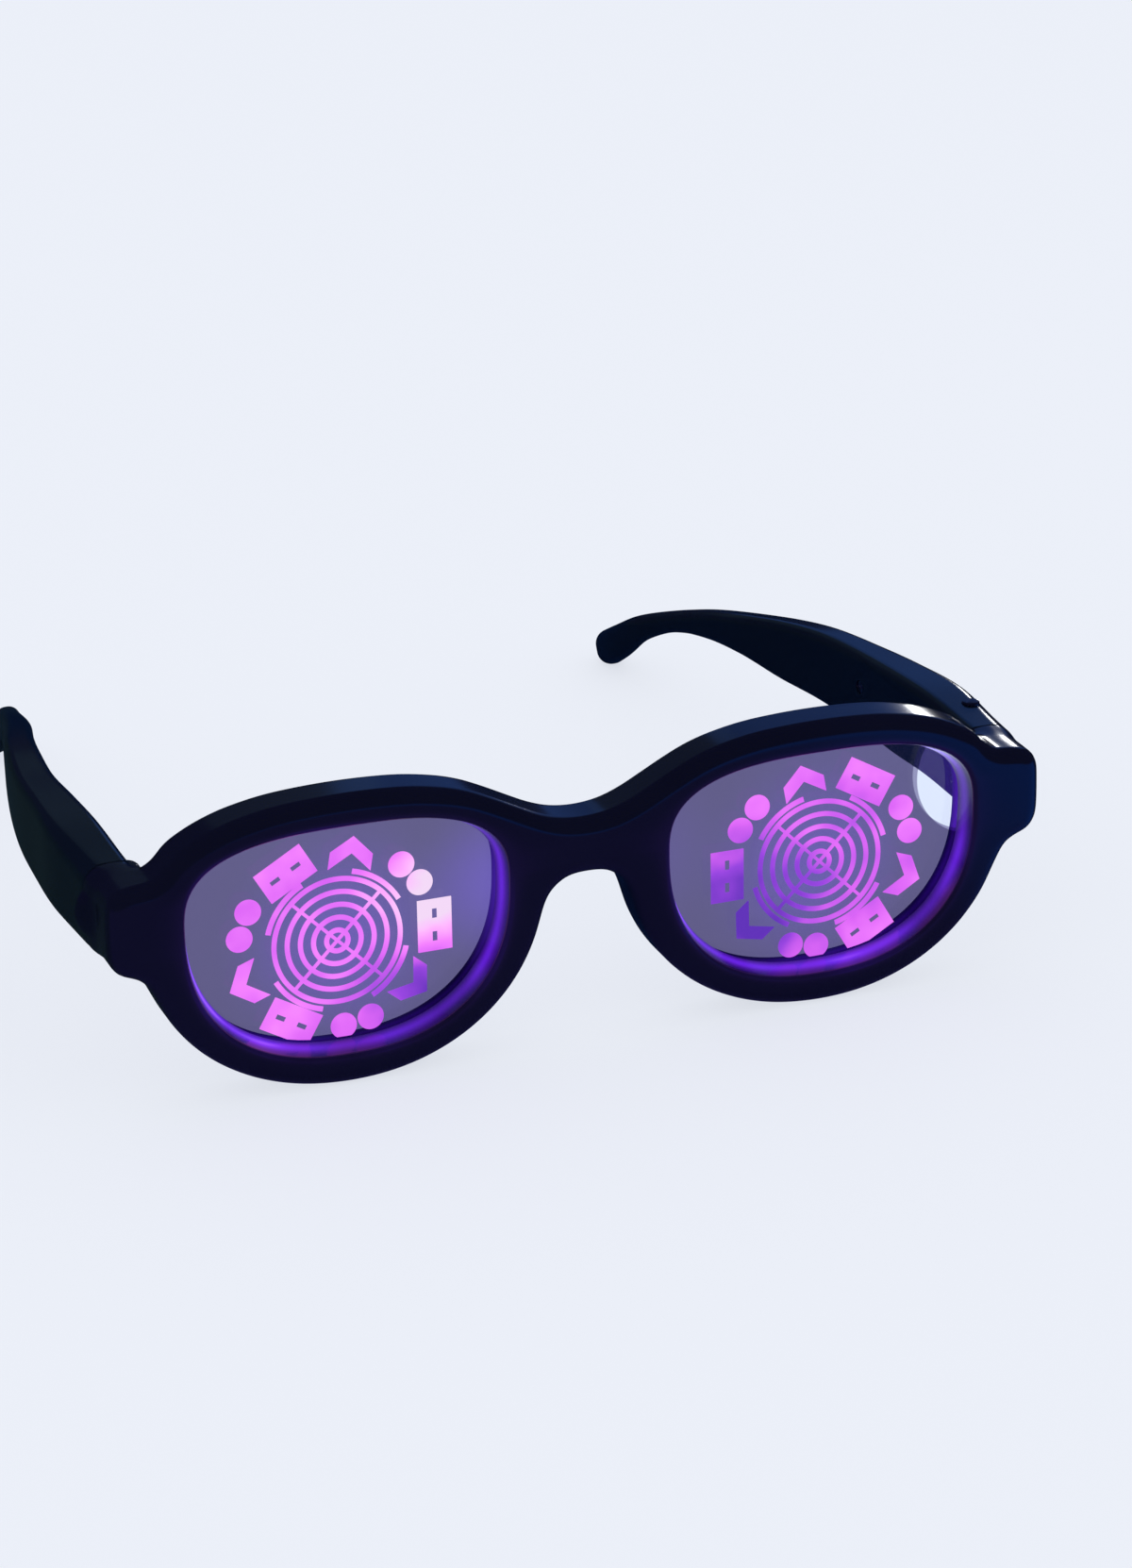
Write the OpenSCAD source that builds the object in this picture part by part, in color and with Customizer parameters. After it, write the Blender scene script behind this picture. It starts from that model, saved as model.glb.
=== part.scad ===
// Light-up glasses: a moulded frame with edge-lit lenses, and the works in the wearer's left temple.
// Millimetres. +X is the wearer's left, the front faces -Y, +Z is up.
// The origin is on the surface that the glasses stand on, under the middle of their outline.

/* [Front] */
// Overall width across the end pieces
front_w = 150.4; // [148:0.2:156]
// Depth of the front from its face to its back
front_depth = 8.5; // [8.1:0.1:9.5]
// Rounding of the outer edge at the face
edge_r = 2.5; // [1.5:0.1:2.7]
// Rounding of the outer edge at the back
back_r = 1.3; // [0.6:0.1:1.5]
// Distance between the middles of the two lenses
lens_pitch = 76.6; // [75.6:0.2:78]
// Width of a lens opening at its widest line
opening_w = 50.6; // [48:0.2:51.4]
// Height of a lens opening above its widest line
opening_top = 12.9; // [12:0.1:14]
// Height of a lens opening below its widest line
opening_bottom = 23.7; // [22:0.1:25]
// Rim above a lens
rim_top = 4.7; // [4.2:0.1:6]
// Rim below a lens
rim_bottom = 5.2; // [4.8:0.1:6]
// Rim beside a lens
rim_side = 6.3; // [6:0.1:7]
// Height of the bridge
bridge_h = 8.9; // [8:0.1:10]
// Underside of the bridge below the widest line of the lenses
bridge_drop = 1; // [0:0.1:2]
// Height of an end piece
end_h = 14.3; // [13.8:0.1:15]
// Top of an end piece above the widest line of the lenses
end_rise = 8.1; // [7.6:0.1:8.6]
// How far the flats that the rims stand on cut into their curve
foot_cut = 0.2; // [0.1:0.05:0.4]

/* [Lenses] */
// Depth of the lens face behind the face of the front
lens_recess = 4; // [3.4:0.1:4.1]
// Thickness of a lens
lens_t = 2.7; // [2:0.1:2.7]
// Room behind a lens, before the rear cover
lens_play = 0.1; // [0.05:0.05:0.3]
// Ledge that a lens lies on, all round
lens_ledge = 1.6; // [1.2:0.1:1.8]
// How much an opening narrows at each side, down to the lens
wall_taper = 1; // [0.5:0.1:1.2]
// Room round a lens in its seat
lens_gap = 0.1; // [0.05:0.05:0.2]

/* [Lens marks] */
// Height of the middle of the marks below the widest line of the lenses
marks_drop = 6.6; // [5:0.2:8]
// Distance of the marks from the middle of the lens, away from the nose
marks_out = 0.9; // [-1:0.1:2]
// Thickness of the print
marks_t = 0.2; // [0.1:0.05:0.4]
// Outer radius of the largest ring
ring_r = 10.3; // [8:0.1:10.5]
// Width of a ring's line
ring_line = 0.75; // [0.4:0.05:1]
// Number of rings
ring_count = 5; // [2:1:6]
// Number of signs round the rings
sign_count = 9; // [6:1:10]
// Width of a sign
sign_w = 8.4; // [3:0.2:8.6]
// Height of a sign
sign_h = 5.4; // [2:0.1:5.6]

/* [Lights] */
// Length of a light board
led_board_len = 11.6; // [11:0.1:12]
// Thickness of a light board
led_board_t = 0.8; // [0.6:0.1:1]
// Width of a light board, front to back
led_board_w = 2.3; // [2:0.1:2.4]
// Thickness of one light
led_t = 1; // [0.7:0.1:1.1]
// Length of one light
led_len = 1.8; // [1.4:0.1:2]
// Distance between neighbouring lights
led_pitch = 3.6; // [3:0.1:3.8]
// Width of the flat twin lead
lead_w = 1.2; // [0.8:0.1:1.2]
// Thickness of the flat twin lead
lead_t = 0.6; // [0.4:0.1:0.6]

/* [Hinges] */
// Radius of a hinge pin
pin_r = 0.8; // [0.6:0.05:1]
// Outer radius of the hinge knuckles
knuckle_r = 2; // [1.8:0.05:2.1]
// Room between pin and temple knuckle, on the radius
pin_gap = 0.06; // [0.03:0.01:0.1]
// Where the end pieces stop, behind the face of the front
seam_y = 12; // [11.5:0.1:13]
// Gap between end piece and temple
seam_gap = 0.2; // [0.15:0.05:0.3]
// Height of each end piece knuckle
frame_knuckle_h = 3.1; // [2.6:0.1:3.4]
// Height of the whole hinge
hinge_h = 11.6; // [11:0.1:12]

/* [Temples] */
// Length from the face of the front to the end of the temple
temple_len = 144.4; // [140:0.2:152]
// Height of the temple beside the hinge
arm_h = 14.3; // [14:0.1:15]
// Thickness of the temple beside the hinge
arm_t = 7.8; // [7.6:0.1:8.2]
// Height of the narrow neck before the tip
neck_h = 3.8; // [3.4:0.1:5]
// Thickness of the narrow neck
neck_t = 4.2; // [3.6:0.1:5]
// Height of the tip, twice the radius of its round end
tip_h = 6.4; // [5.6:0.1:7.6]
// Thickness of the temple at its tip
tip_t = 5.4; // [4.6:0.1:6]
// How far the tip bows inwards from the line of the temple
bow = 15.9; // [12:0.1:18]
// Rounding of the temple's long edges
arm_edge = 1.7; // [1.2:0.1:1.8]
// Rounding of the outer edges where the temple meets the end piece
end_edge = 3.6; // [2.4:0.1:4]
// Lean of the front, so that the rims and the tips stand on one surface
lean = 2.14; // [1.8:0.02:2.5]

/* [Works] */
// Thickness of the cover and the battery door
cover_t = 1.2; // [1:0.1:1.3]
// Depth of the pocket from the inner face of the temple
pocket_depth = 5.3; // [5.2:0.1:5.4]
// Height of the pocket
pocket_h = 8.1; // [8:0.1:8.4]
// Ledge round the pocket that the covers lie on
cover_ledge = 0.9; // [0.7:0.1:1]
// Length of the front cover over the control board
front_cover_len = 9.9; // [9.7:0.1:10]
// Room round the covers
cover_gap = 0.1; // [0.05:0.05:0.15]
// Diameter of a button cell
cell_d = 7.9; // [7.7:0.1:7.9]
// Thickness of a button cell
cell_t = 3.6; // [3.2:0.1:3.6]
// Distance between the middles of neighbouring cells
cell_pitch = 8.3; // [8.2:0.05:8.3]
// Diameter of the power button
button_d = 2.8; // [2.4:0.1:2.9]
// How far the power button stands out of the temple
button_proud = 0.5; // [0.4:0.1:0.8]
// Travel of the power button
button_travel = 0.3; // [0.2:0.05:0.35]

/* [Screws] */
// Radius of a screw's shank
screw_r = 0.55; // [0.45:0.05:0.55]
// Radius of a screw's head
screw_head_r = 1.1; // [0.9:0.05:1.1]
// Height of a screw's head
screw_head_h = 0.55; // [0.4:0.05:0.6]
// Room between a screw's shank and the hole that it turns into
screw_gap = 0.05; // [0.03:0.01:0.08]

/* [Hidden] */

// Sizes that follow from the ones above, and the small ones that belong to a single piece
big = 400;
lens_x = lens_pitch / 2;
half_w = opening_w / 2;
nose_x = lens_x - half_w;
end_x = front_w / 2;
lens_line = rim_bottom + opening_bottom - foot_cut;
bridge_under = lens_line - bridge_drop;
bridge_top = bridge_under + bridge_h;
end_top = lens_line + end_rise;
end_bottom = end_top - end_h;
opening_square_up = 2.8;
opening_square_down = 2.35;
rim_square_up = 2.4;
rim_square_down = 2.1;
face_edge = 0.7;
seat_y = lens_recess;
cover_y = lens_recess + lens_t + lens_play;
seat_grow = lens_ledge - wall_taper;
cover_lap = 1;
side_x = end_x + 0.6;
inner_x = side_x - arm_t;
cover_end_x = max(inner_x - 0.1, lens_x + half_w + seat_grow + 1);
arm_mid = end_top - end_h / 2;
knuckle_gap = 0.15;
temple_y = seam_y + seam_gap;
hinge_x = inner_x + 0.6;
hinge_y = temple_y + knuckle_r;
hinge_z = arm_mid - arm_h / 2 + 1.1;
relief_r = knuckle_r + 0.45;
web_out = 1.2;
box_end = 56;
tip_y = temple_len - tip_h / 2;
foot_y = front_depth / 2;
tip_z = (tip_h - foot_cut) / 2 + (tip_y - foot_y) * tan(lean);
mid_y = (temple_len + (edge_r + tip_z) * sin(lean)) / 2;

// Light boards, in a pocket at the nose side of each lens seat
led_pocket_w = led_board_t + led_t + 1;
led_wall_x = nose_x - seat_grow - led_pocket_w + 0.1;
led_board_x = led_wall_x + 0.1;
led_mid_z = lens_line - 0.2;
led_pocket_y = cover_y - led_board_w - 0.2;
led_y = led_pocket_y + 0.1 + led_board_w / 2;
led_w = 1.6;
resistor_z = led_mid_z + led_board_len / 2 - 0.9;

// Leads and their channels, open to the back of the front shell
channel_gap = 0.2;
lead_y = cover_y - lead_t - 0.1;
bridge_lead_z = bridge_under + 3.1;
brow_grow = 2.7;
brow_from = 165;
brow_to = 12;
wire_bore_r = 0.9;
wire_in = 3.2;
wire_x = max(inner_x + wire_in, cover_end_x + wire_bore_r + 0.3);
wire_z = arm_mid + 0.5;

// Places of the rear cover's screws, each mirrored to the other side: [across, height]
rear_screw_out = 3.2;
rear_screw_places = [
    [nose_x * 0.34, bridge_top - 2.4],
    opening_point(rear_screw_out, -32),
    [lens_x, rim_bottom / 2 - foot_cut / 2 - 0.1]
];
rear_screw_len = 4;
head_recess = screw_head_h + 0.1;

// Works, in the pocket of the left temple
cover_from = 4.8;
cover_land = 3.1;
works_len = 11;
recess_y = temple_y + cover_from;
recess_x = inner_x + cover_t;
floor_x = inner_x + pocket_depth;
pocket_mid_z = arm_mid - 0.4;
pocket_y = recess_y + cover_land;
door_y = recess_y + front_cover_len;
cell_y = pocket_y + works_len;
row_end_y = cell_y + 2 * cell_pitch + cell_d / 2;
pocket_end_y = row_end_y + 0.35;
recess_end_y = pocket_end_y + 0.4;
door_screw_y = recess_end_y + 1.2;
tab_r = 2.6;
strap_t = 0.2;
strap_h = 3;
cell_x = floor_x - strap_t - cell_t;
board_x = inner_x + 3.1;
board_t = 0.8;
board_y = pocket_y + 0.2;
board_len = 6;
board_h = pocket_h - 2 * (button_travel + 0.2);
switch_w = 2.6;
switch_len = 3;
switch_h = 3;
switch_x = board_x + board_t;
button_x = switch_x + switch_w / 2;
button_y = board_y + 0.1 + switch_len / 2;
pocket_top = pocket_mid_z + pocket_h / 2;
pocket_bottom = pocket_mid_z - pocket_h / 2;
switch_z = pocket_top - 0.9 - switch_h;
flange_z = pocket_top;
flange_h = 0.9;
flange_r = button_d / 2 + 0.35;
plunger_r = 0.7;
arm_top = arm_mid + arm_h / 2 - 0.05;
groove_w = 1;
groove_drop = 0.85;
lead_r = 0.35;
cover_screw_y = recess_y + 1.6;
cover_screw_rise = 3.6;
cover_screw_len = 3.6;

// Blend from a to b as t goes from 0 to 1
function lerp(a, b, t) = a + (b - a) * t;

// Point between b and c of the smooth curve through a, b, c and d
function curve_point(a, b, c, d, t) =
    0.5 * (2 * b + (c - a) * t + (2 * a - 5 * b + 4 * c - d) * t * t + (3 * b - a - 3 * c + d) * t * t * t);

// Smooth closed curve through points, with steps points for each of them
function closed_curve(p, steps) =
    let (n = len(p))
    [for (i = [0:n - 1], k = [0:steps - 1])
        curve_point(p[(i + n - 1) % n], p[i], p[(i + 1) % n], p[(i + 2) % n], k / steps)];

// Smooth open curve through rows of numbers
function open_curve(p, steps) =
    let (n = len(p))
    concat(
        [for (i = [0:n - 2], k = [0:steps - 1])
            curve_point(p[max(i - 1, 0)], p[i], p[i + 1], p[min(i + 2, n - 1)], k / steps)],
        [p[n - 1]]
    );

// Closed outline drawn in by d, for points that run clockwise as seen from the front
function inset(p, d) =
    let (n = len(p))
    [for (i = [0:n - 1])
        let (v = p[(i + 1) % n] - p[(i + n - 1) % n])
        p[i] + d * [v[1], -v[0]] / norm(v)];

// Point at angle t of a squared oval round the middle of the lens, with its own height above and below
function oval(side, up, down, square_up, square_down, t) =
    let (s = sin(t), c = cos(t), e = 2 / (s >= 0 ? square_up : square_down))
    [lens_x + sign(c) * side * pow(abs(c), e), lens_line + (s >= 0 ? up : -down) * pow(abs(s), e)];

// Lens opening grown by a distance, clockwise from the front
function opening_point(grow, t) =
    oval(half_w + grow, opening_top + grow, opening_bottom + grow, opening_square_up, opening_square_down, t);
function opening_ring(grow) = [for (i = [0:71]) opening_point(grow, -5 * i)];

// Outer line of the rim
function rim_point(t) =
    oval(half_w + rim_side, opening_top + rim_top, opening_bottom + rim_bottom, rim_square_up, rim_square_down, t);

// Point on an end piece, in from its end by a length, or by a share of the room beyond the rim's point
// at angle t where that is less
function end_point(t, in_by, share, z) = [end_x - min(in_by, share * (end_x - rim_point(t)[0])), z];

// Half outline of the front, from the middle of the bridge's top over the rim, round the end piece
// and along the bottom of the rim to the middle of the bridge's underside
half_outline = concat(
    [
        [0, bridge_top],
        [nose_x * 0.3, bridge_top + 0.4],
        [nose_x * 0.57, bridge_top + 1.6],
        [nose_x * 0.86, bridge_top + 3.5]
    ],
    [for (t = [135, 125, 115, 103, 90, 77, 65, 55, 45, 37]) rim_point(t)],
    [
        end_point(37, 9, 0.845, end_top + 1.5),
        end_point(37, 6.9, 0.648, end_top + 0.3),
        end_point(37, 4, 0.376, end_top),
        end_point(37, 1.4, 0.132, end_top - 0.8),
        end_point(37, 0.2, 0.019, end_top - 2.6),
        [end_x, end_top - 5],
        [end_x, end_bottom + 4.4],
        end_point(-21, 0.4, 0.056, end_bottom + 2.2),
        end_point(-21, 1.7, 0.235, end_bottom + 0.5),
        end_point(-21, 3.7, 0.51, end_bottom - 0.3),
        end_point(-21, 5.4, 0.745, end_bottom - 1.3),
        end_point(-21, 6.5, 0.895, end_bottom - 3.1)
    ],
    [for (t = [-21, -30, -40, -50, -60, -70, -80, -90, -100, -110, -120, -130, -140, -150, -160])
        rim_point(t)],
    [
        [nose_x * 0.51, bridge_under - 3.6],
        [nose_x * 0.38, bridge_under - 1.4],
        [nose_x * 0.22, bridge_under - 0.25],
        [0, bridge_under]
    ]
);
outline = closed_curve(
    concat(half_outline, [for (i = [len(half_outline) - 2:-1:1]) [-half_outline[i][0], half_outline[i][1]]]),
    2
);

// Temple rows: [distance back, height of the middle, height, outer face, thickness, rounding of the
// outer edges, rounding of the inner edges]
function box_row(y, drop, h, step, edge) =
    [y, arm_mid - drop, h, side_x - step, arm_t - step, edge, arm_edge];
function tail_row(along, drop, h, bow_share, t, edge) = [
    lerp(box_end, tip_y, along), arm_mid - drop * (arm_mid - tip_z), h,
    side_x - bow * bow_share, t, edge, edge
];
arm_rows = open_curve([
    box_row(2, 0, end_h, 0.8, end_edge),
    box_row(front_depth, 0, end_h, 0.3, end_edge),
    box_row(17, 0.1, arm_h + 0.1, 0, lerp(arm_edge, end_edge, 0.7)),
    box_row(30, 0, arm_h + 0.2, -0.4, lerp(arm_edge, end_edge, 0.3)),
    box_row(43, 0.8, arm_h + 0.1, 0.6, arm_edge),
    tail_row(0, 0.07, arm_h * 0.94, 0.1, lerp(arm_t, neck_t, 0.41), arm_edge),
    tail_row(0.154, 0.09, arm_h * 0.85, 0.22, lerp(arm_t, neck_t, 0.58), arm_edge),
    tail_row(0.297, 0.135, arm_h * 0.724, 0.377, lerp(arm_t, neck_t, 0.72), arm_edge),
    tail_row(0.43, 0.17, arm_h * 0.506, 0.554, lerp(arm_t, neck_t, 0.83), arm_edge),
    tail_row(0.573, 0.264, neck_h * 1.34, 0.69, lerp(arm_t, neck_t, 0.94), arm_edge + 0.2),
    tail_row(0.706, 0.404, neck_h, 0.83, neck_t, arm_edge + 0.4),
    tail_row(0.819, 0.594, lerp(neck_h, tip_h, 0.3), 0.975, lerp(neck_t, tip_t, 0.15), arm_edge + 0.6),
    tail_row(0.921, 0.838, lerp(neck_h, tip_h, 0.85), 1, lerp(neck_t, tip_t, 0.66), arm_edge + 0.8),
    tail_row(1, 1, tip_h, 0.95, tip_t, arm_edge + 1)
], 3);

// Rounded rectangle, clockwise as seen from the front: its corners, each in five points, with one
// rounding for the outer corners and another for the inner ones
function section(w, h, outer, inner) =
    [for (q = [0:3], k = [0:4])
        let (t = 90 - 90 * q - 22.5 * k, r = q < 2 ? outer : inner)
        [(q < 2 ? 1 : -1) * (w / 2 - r) + r * cos(t), (q % 3 == 0 ? 1 : -1) * (h / 2 - r) + r * sin(t)]];

// Section of the temple across its line at row i, moved on along that line, with its size shared down
function arm_slice(i, ahead, share) =
    let (
        row = arm_rows[i],
        v = arm_rows[min(i + 1, len(arm_rows) - 1)] - arm_rows[max(i - 1, 0)],
        d = [v[0], v[1]] / norm([v[0], v[1]]),
        w = row[4] * share,
        h = row[2] * share,
        most = 0.47 * min(w, h)
    )
    [for (p = section(w, h, min(row[5], most), min(row[6], most)))
        [row[3] - row[4] / 2 + p[0], row[0] + d[0] * ahead - d[1] * p[1], row[1] + d[1] * ahead + d[0] * p[1]]];

arm_last = len(arm_rows) - 1;
arm_rings = concat(
    [for (i = [0:arm_last]) arm_slice(i, 0, 1)],
    [for (t = [20, 38, 54, 68, 79, 87]) arm_slice(arm_last, tip_h / 2 * sin(t), cos(t))]
);

// Lean a piece back round the middle of the feet, and move it to the middle of the object's depth
module place() {
    translate([0, foot_y - mid_y, 0]) rotate([-lean, 0, 0]) translate([0, -foot_y, 0]) children();
}

// Draw the wearer's left side as it is, or mirrored for the right
module side(s) {
    if (s > 0) {
        children();
    } else {
        mirror([1, 0, 0]) children();
    }
}

module both_sides() {
    children();
    mirror([1, 0, 0]) children();
}

// Solid through a list of rings, each clockwise as seen from the first one
module loft(rings) {
    n = len(rings[0]);
    last = len(rings) - 1;
    polyhedron(
        points = [for (ring = rings) each ring],
        faces = concat(
            [[for (i = [0:n - 1]) i]],
            [[for (i = [n - 1:-1:0]) last * n + i]],
            [for (k = [0:last - 1], i = [0:n - 1])
                [k * n + i, (k + 1) * n + i, (k + 1) * n + (i + 1) % n]],
            [for (k = [0:last - 1], i = [0:n - 1])
                [k * n + i, (k + 1) * n + (i + 1) % n, k * n + (i + 1) % n]]
        )
    );
}

// Ring of points at a depth behind the face
function ring_at(p, y) = [for (q = p) [q[0], y, q[1]]];

function turned(p) = [for (i = [len(p) - 1:-1:0]) p[i]];

// Plate with a flat outline, from one depth to another
module plate(p, y0, y1) {
    translate([0, y1, 0]) rotate([90, 0, 0]) linear_extrude(height = y1 - y0) polygon(p);
}

// Box between two corners
module block(low, high) {
    translate(low) cube(high - low);
}

// Cylinders along each axis, from one place to another
module rod_x(y, z, r, x0, x1) {
    translate([x0, y, z]) rotate([0, 90, 0]) cylinder(h = x1 - x0, r = r, $fn = 48);
}

module rod_y(x, z, r, y0, y1) {
    translate([x, y1, z]) rotate([90, 0, 0]) cylinder(h = y1 - y0, r = r, $fn = 48);
}

module rod_z(x, y, r, z0, z1) {
    translate([x, y, z0]) cylinder(h = z1 - z0, r = r, $fn = 48);
}

// Straight strip in the plane of the front, between two points
function strip(a, b, w) =
    let (d = (b - a) / norm(b - a), n = [-d[1], d[0]] * w / 2)
    [a + n, b + n, b - n, a - n];

// Cross-head screw along -Y, its head's face at y
module screw_y(x, z, y, length) {
    difference() {
        union() {
            rod_y(x, z, screw_head_r, y - screw_head_h, y);
            rod_y(x, z, screw_r, y - length, y - screw_head_h);
        }
        screw_slots_y(x, z, y);
    }
}

slot_w = 0.3;
slot_depth = 0.25;

module screw_slots_y(x, z, y) {
    reach = screw_head_r * 0.7;
    block([x - reach, y - slot_depth, z - slot_w / 2], [x + reach, y + 1, z + slot_w / 2]);
    block([x - slot_w / 2, y - slot_depth, z - reach], [x + slot_w / 2, y + 1, z + reach]);
}

// Cross-head screw along +X, its head's face at x
module screw_x(x, y, z, length) {
    reach = screw_head_r * 0.7;
    difference() {
        union() {
            rod_x(y, z, screw_head_r, x, x + screw_head_h);
            rod_x(y, z, screw_r, x + screw_head_h, x + length);
        }
        block([x - 1, y - reach, z - slot_w / 2], [x + slot_depth, y + reach, z + slot_w / 2]);
        block([x - 1, y - slot_w / 2, z - reach], [x + slot_depth, y + slot_w / 2, z + reach]);
    }
}

// Everything below the surface that the glasses stand on, which slopes in this frame by the lean
module ground() {
    translate([0, foot_y, 0]) rotate([lean, 0, 0]) block([-big, -big, -big], [big, big, 0]);
}

// Front: outer form, end pieces and knuckles

module face_slab() {
    difference() {
        loft([
            ring_at(turned(outline), cover_y + 1),
            for (t = [90, 67.5, 45, 22.5, 0])
                ring_at(turned(inset(outline, edge_r * (1 - sin(t)))), edge_r * (1 - cos(t)))
        ]);
        block([-big, cover_y, -big], [big, big, big]);
    }
}

module end_block() {
    difference() {
        intersection() {
            loft(arm_rings);
            block([0, 3, 0], [big, seam_y, big]);
        }
        block([0, 0, -1], [cover_end_x + 0.05, front_depth + 0.1, big]);
    }
}

// Knuckle round the hinge pin between two heights, with a web to the end piece
module frame_knuckle(z0, z1) {
    rod_z(hinge_x, hinge_y, knuckle_r, z0, z1);
    block([hinge_x - knuckle_r, seam_y - 0.5, z0], [hinge_x + web_out, hinge_y, z1]);
}

module frame_knuckles() {
    frame_knuckle(hinge_z, hinge_z + frame_knuckle_h);
    frame_knuckle(hinge_z + hinge_h - frame_knuckle_h, hinge_z + hinge_h);
}

module opening_cut() {
    loft([
        ring_at(opening_ring(face_edge), -1),
        ring_at(opening_ring(face_edge), 0),
        ring_at(opening_ring(face_edge * 0.3), face_edge * 0.3),
        ring_at(opening_ring(0), face_edge),
        ring_at(opening_ring(-wall_taper), seat_y + 0.5)
    ]);
    plate(opening_ring(seat_grow), seat_y, cover_y + 1);
}

module led_pocket_cut() {
    low_z = led_mid_z - led_board_len / 2 - 0.2;
    block([led_wall_x, led_pocket_y, low_z], [nose_x - seat_grow + 0.6, cover_y + 1, low_z + led_board_len + 0.4]);
}

// Channels for the leads, from the light board over the rim to the end piece and on to the hinge
function brow_band(w) = concat(
    [for (t = [brow_from:-3:brow_to]) opening_point(brow_grow - w / 2, t)],
    [for (t = [brow_to:3:brow_from]) opening_point(brow_grow + w / 2, t)]
);

brow_end = opening_point(brow_grow, brow_to);
brow_start = opening_point(brow_grow, brow_from);
board_top = led_mid_z + led_board_len / 2;

module brow_route(w, y0, y1) {
    plate(brow_band(w), y0, y1);
    plate(strip(brow_end, [wire_x, wire_z], w), y0, y1);
    plate(strip([led_board_x + led_board_t / 2 + 0.4, board_top + w / 2], brow_start, w), y0, y1);
}

module left_channels() {
    brow_route(lead_w + 2 * channel_gap, lead_y - channel_gap, cover_y + 0.1);
    rod_y(wire_x, wire_z, wire_bore_r, lead_y, seam_y + 1);
}

module rear_screw_holes(r, y0, y1) {
    for (p = rear_screw_places) {
        rod_y(p[0], p[1], r, y0, y1);
    }
}

module front_shell() {
    color("#0c0d22")
    difference() {
        union() {
            face_slab();
            both_sides() end_block();
            both_sides() frame_knuckles();
        }
        both_sides() opening_cut();
        both_sides() led_pocket_cut();
        both_sides() rod_z(hinge_x, hinge_y, pin_r, 0, big);
        block(
            [-led_board_x, lead_y - channel_gap, bridge_lead_z - lead_w / 2 - channel_gap],
            [led_board_x, cover_y + 1, bridge_lead_z + lead_w / 2 + channel_gap]
        );
        left_channels();
        both_sides() rear_screw_holes(screw_r + screw_gap, front_depth - rear_screw_len - 0.4, cover_y + 1);
        ground();
    }
}

module rear_cover() {
    color("#0c0d22")
    difference() {
        intersection() {
            loft(concat(
                [ring_at(outline, cover_y)],
                [for (t = [90, 60, 30, 0])
                    ring_at(inset(outline, back_r * (1 - sin(t))), front_depth - back_r * (1 - cos(t)))]
            ));
            block([-cover_end_x, 0, -1], [cover_end_x, big, big]);
        }
        ground();
        both_sides() plate(opening_ring(seat_grow - cover_lap), 0, big);
        both_sides() rear_screw_holes(screw_r + 0.15, 0, big);
        both_sides() rear_screw_holes(screw_head_r + 0.1, front_depth - head_recess, big);
    }
}

module lens() {
    color("#7a70a8", 0.6) plate(opening_ring(seat_grow - lens_gap), seat_y, seat_y + lens_t);
}

module left_lens() {
    lens();
}

module right_lens() {
    mirror([1, 0, 0]) lens();
}

// Print on a lens: rings and a cross in the middle, broken arcs round them, and an outer ring of plain
// signs in three kinds: slotted blocks, chevrons and pairs of discs

marks_x = lens_x + marks_out;
marks_z = lens_line - marks_drop;
cross_w = 0.5;
arc_w = 0.8;
arc_r = ring_r + 0.4;
sign_ring_x = ring_r + 5.1;
sign_ring_z = ring_r + 3.6;
sign_slot = 0.8;
marks_margin = 0.3;

module flat(points) {
    translate([0, marks_t, 0]) rotate([90, 0, 0]) linear_extrude(height = marks_t) polygon(points);
}

module disc(x, r) {
    translate([x, marks_t, 0]) rotate([90, 0, 0]) cylinder(h = marks_t, r = r, $fn = 48);
}

module ring_bar(r, w) {
    translate([0, marks_t, 0]) rotate([90, 0, 0])
    difference() {
        cylinder(h = marks_t, r = r, $fn = 96);
        translate([0, 0, -1]) cylinder(h = marks_t + 2, r = r - w, $fn = 96);
    }
}

// Part of a ring between two angles less than 120 degrees apart
module arc_bar(r, w, from, to) {
    far = 2 * r;
    intersection() {
        ring_bar(r, w);
        flat([
            [0, 0],
            far * [cos(from), sin(from)],
            2 * far * [cos((from + to) / 2), sin((from + to) / 2)],
            far * [cos(to), sin(to)]
        ]);
    }
}

module slotted_block(w, h) {
    difference() {
        block([-w / 2, 0, -h / 2], [w / 2, marks_t, h / 2]);
        for (d = [-1, 1]) {
            translate([d * w / 4.5, -1, 0])
                block([-sign_slot, 0, -sign_slot / 2], [sign_slot, marks_t + 2, sign_slot / 2]);
        }
    }
}

module chevron(w, h) {
    flat([
        [-w / 2, -h / 2], [0, 0], [w / 2, -h / 2],
        [w / 2, 0], [0, h / 2], [-w / 2, 0]
    ]);
}

module outer_sign(kind) {
    if (kind == 0) {
        slotted_block(sign_w, sign_h);
    } else if (kind == 1) {
        chevron(sign_w * 0.8, sign_h);
    } else {
        disc(-sign_w * 0.26, sign_h * 0.38);
        disc(sign_w * 0.26, sign_h * 0.38);
    }
}

module marks() {
    color("#f077ff")
    intersection() {
        translate([marks_x, seat_y - marks_t, marks_z]) {
            union() {
                for (k = [1:ring_count]) {
                    ring_bar(ring_r * k / ring_count, ring_line);
                }
                for (turn = [45, 135]) {
                    rotate([0, turn, 0])
                        block([-ring_r + 0.2, 0, -cross_w / 2], [ring_r - 0.2, marks_t, cross_w / 2]);
                }
            }
            for (k = [0:3]) {
                arc_bar(arc_r + arc_w, arc_w, 90 * k + 14, 90 * k + 62);
            }
            for (k = [0:sign_count - 1]) {
                turn = 360 * (k + 0.5) / sign_count;
                translate([sign_ring_x * cos(turn), 0, sign_ring_z * sin(turn)])
                    rotate([0, 90 - turn, 0]) outer_sign((k + 2) % 3);
            }
        }
        plate(opening_ring(-wall_taper - marks_margin), seat_y - 1, seat_y + 1);
    }
}

module left_lens_marks() {
    marks();
}

module right_lens_marks() {
    mirror([1, 0, 0]) marks();
}

// Lights

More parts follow.
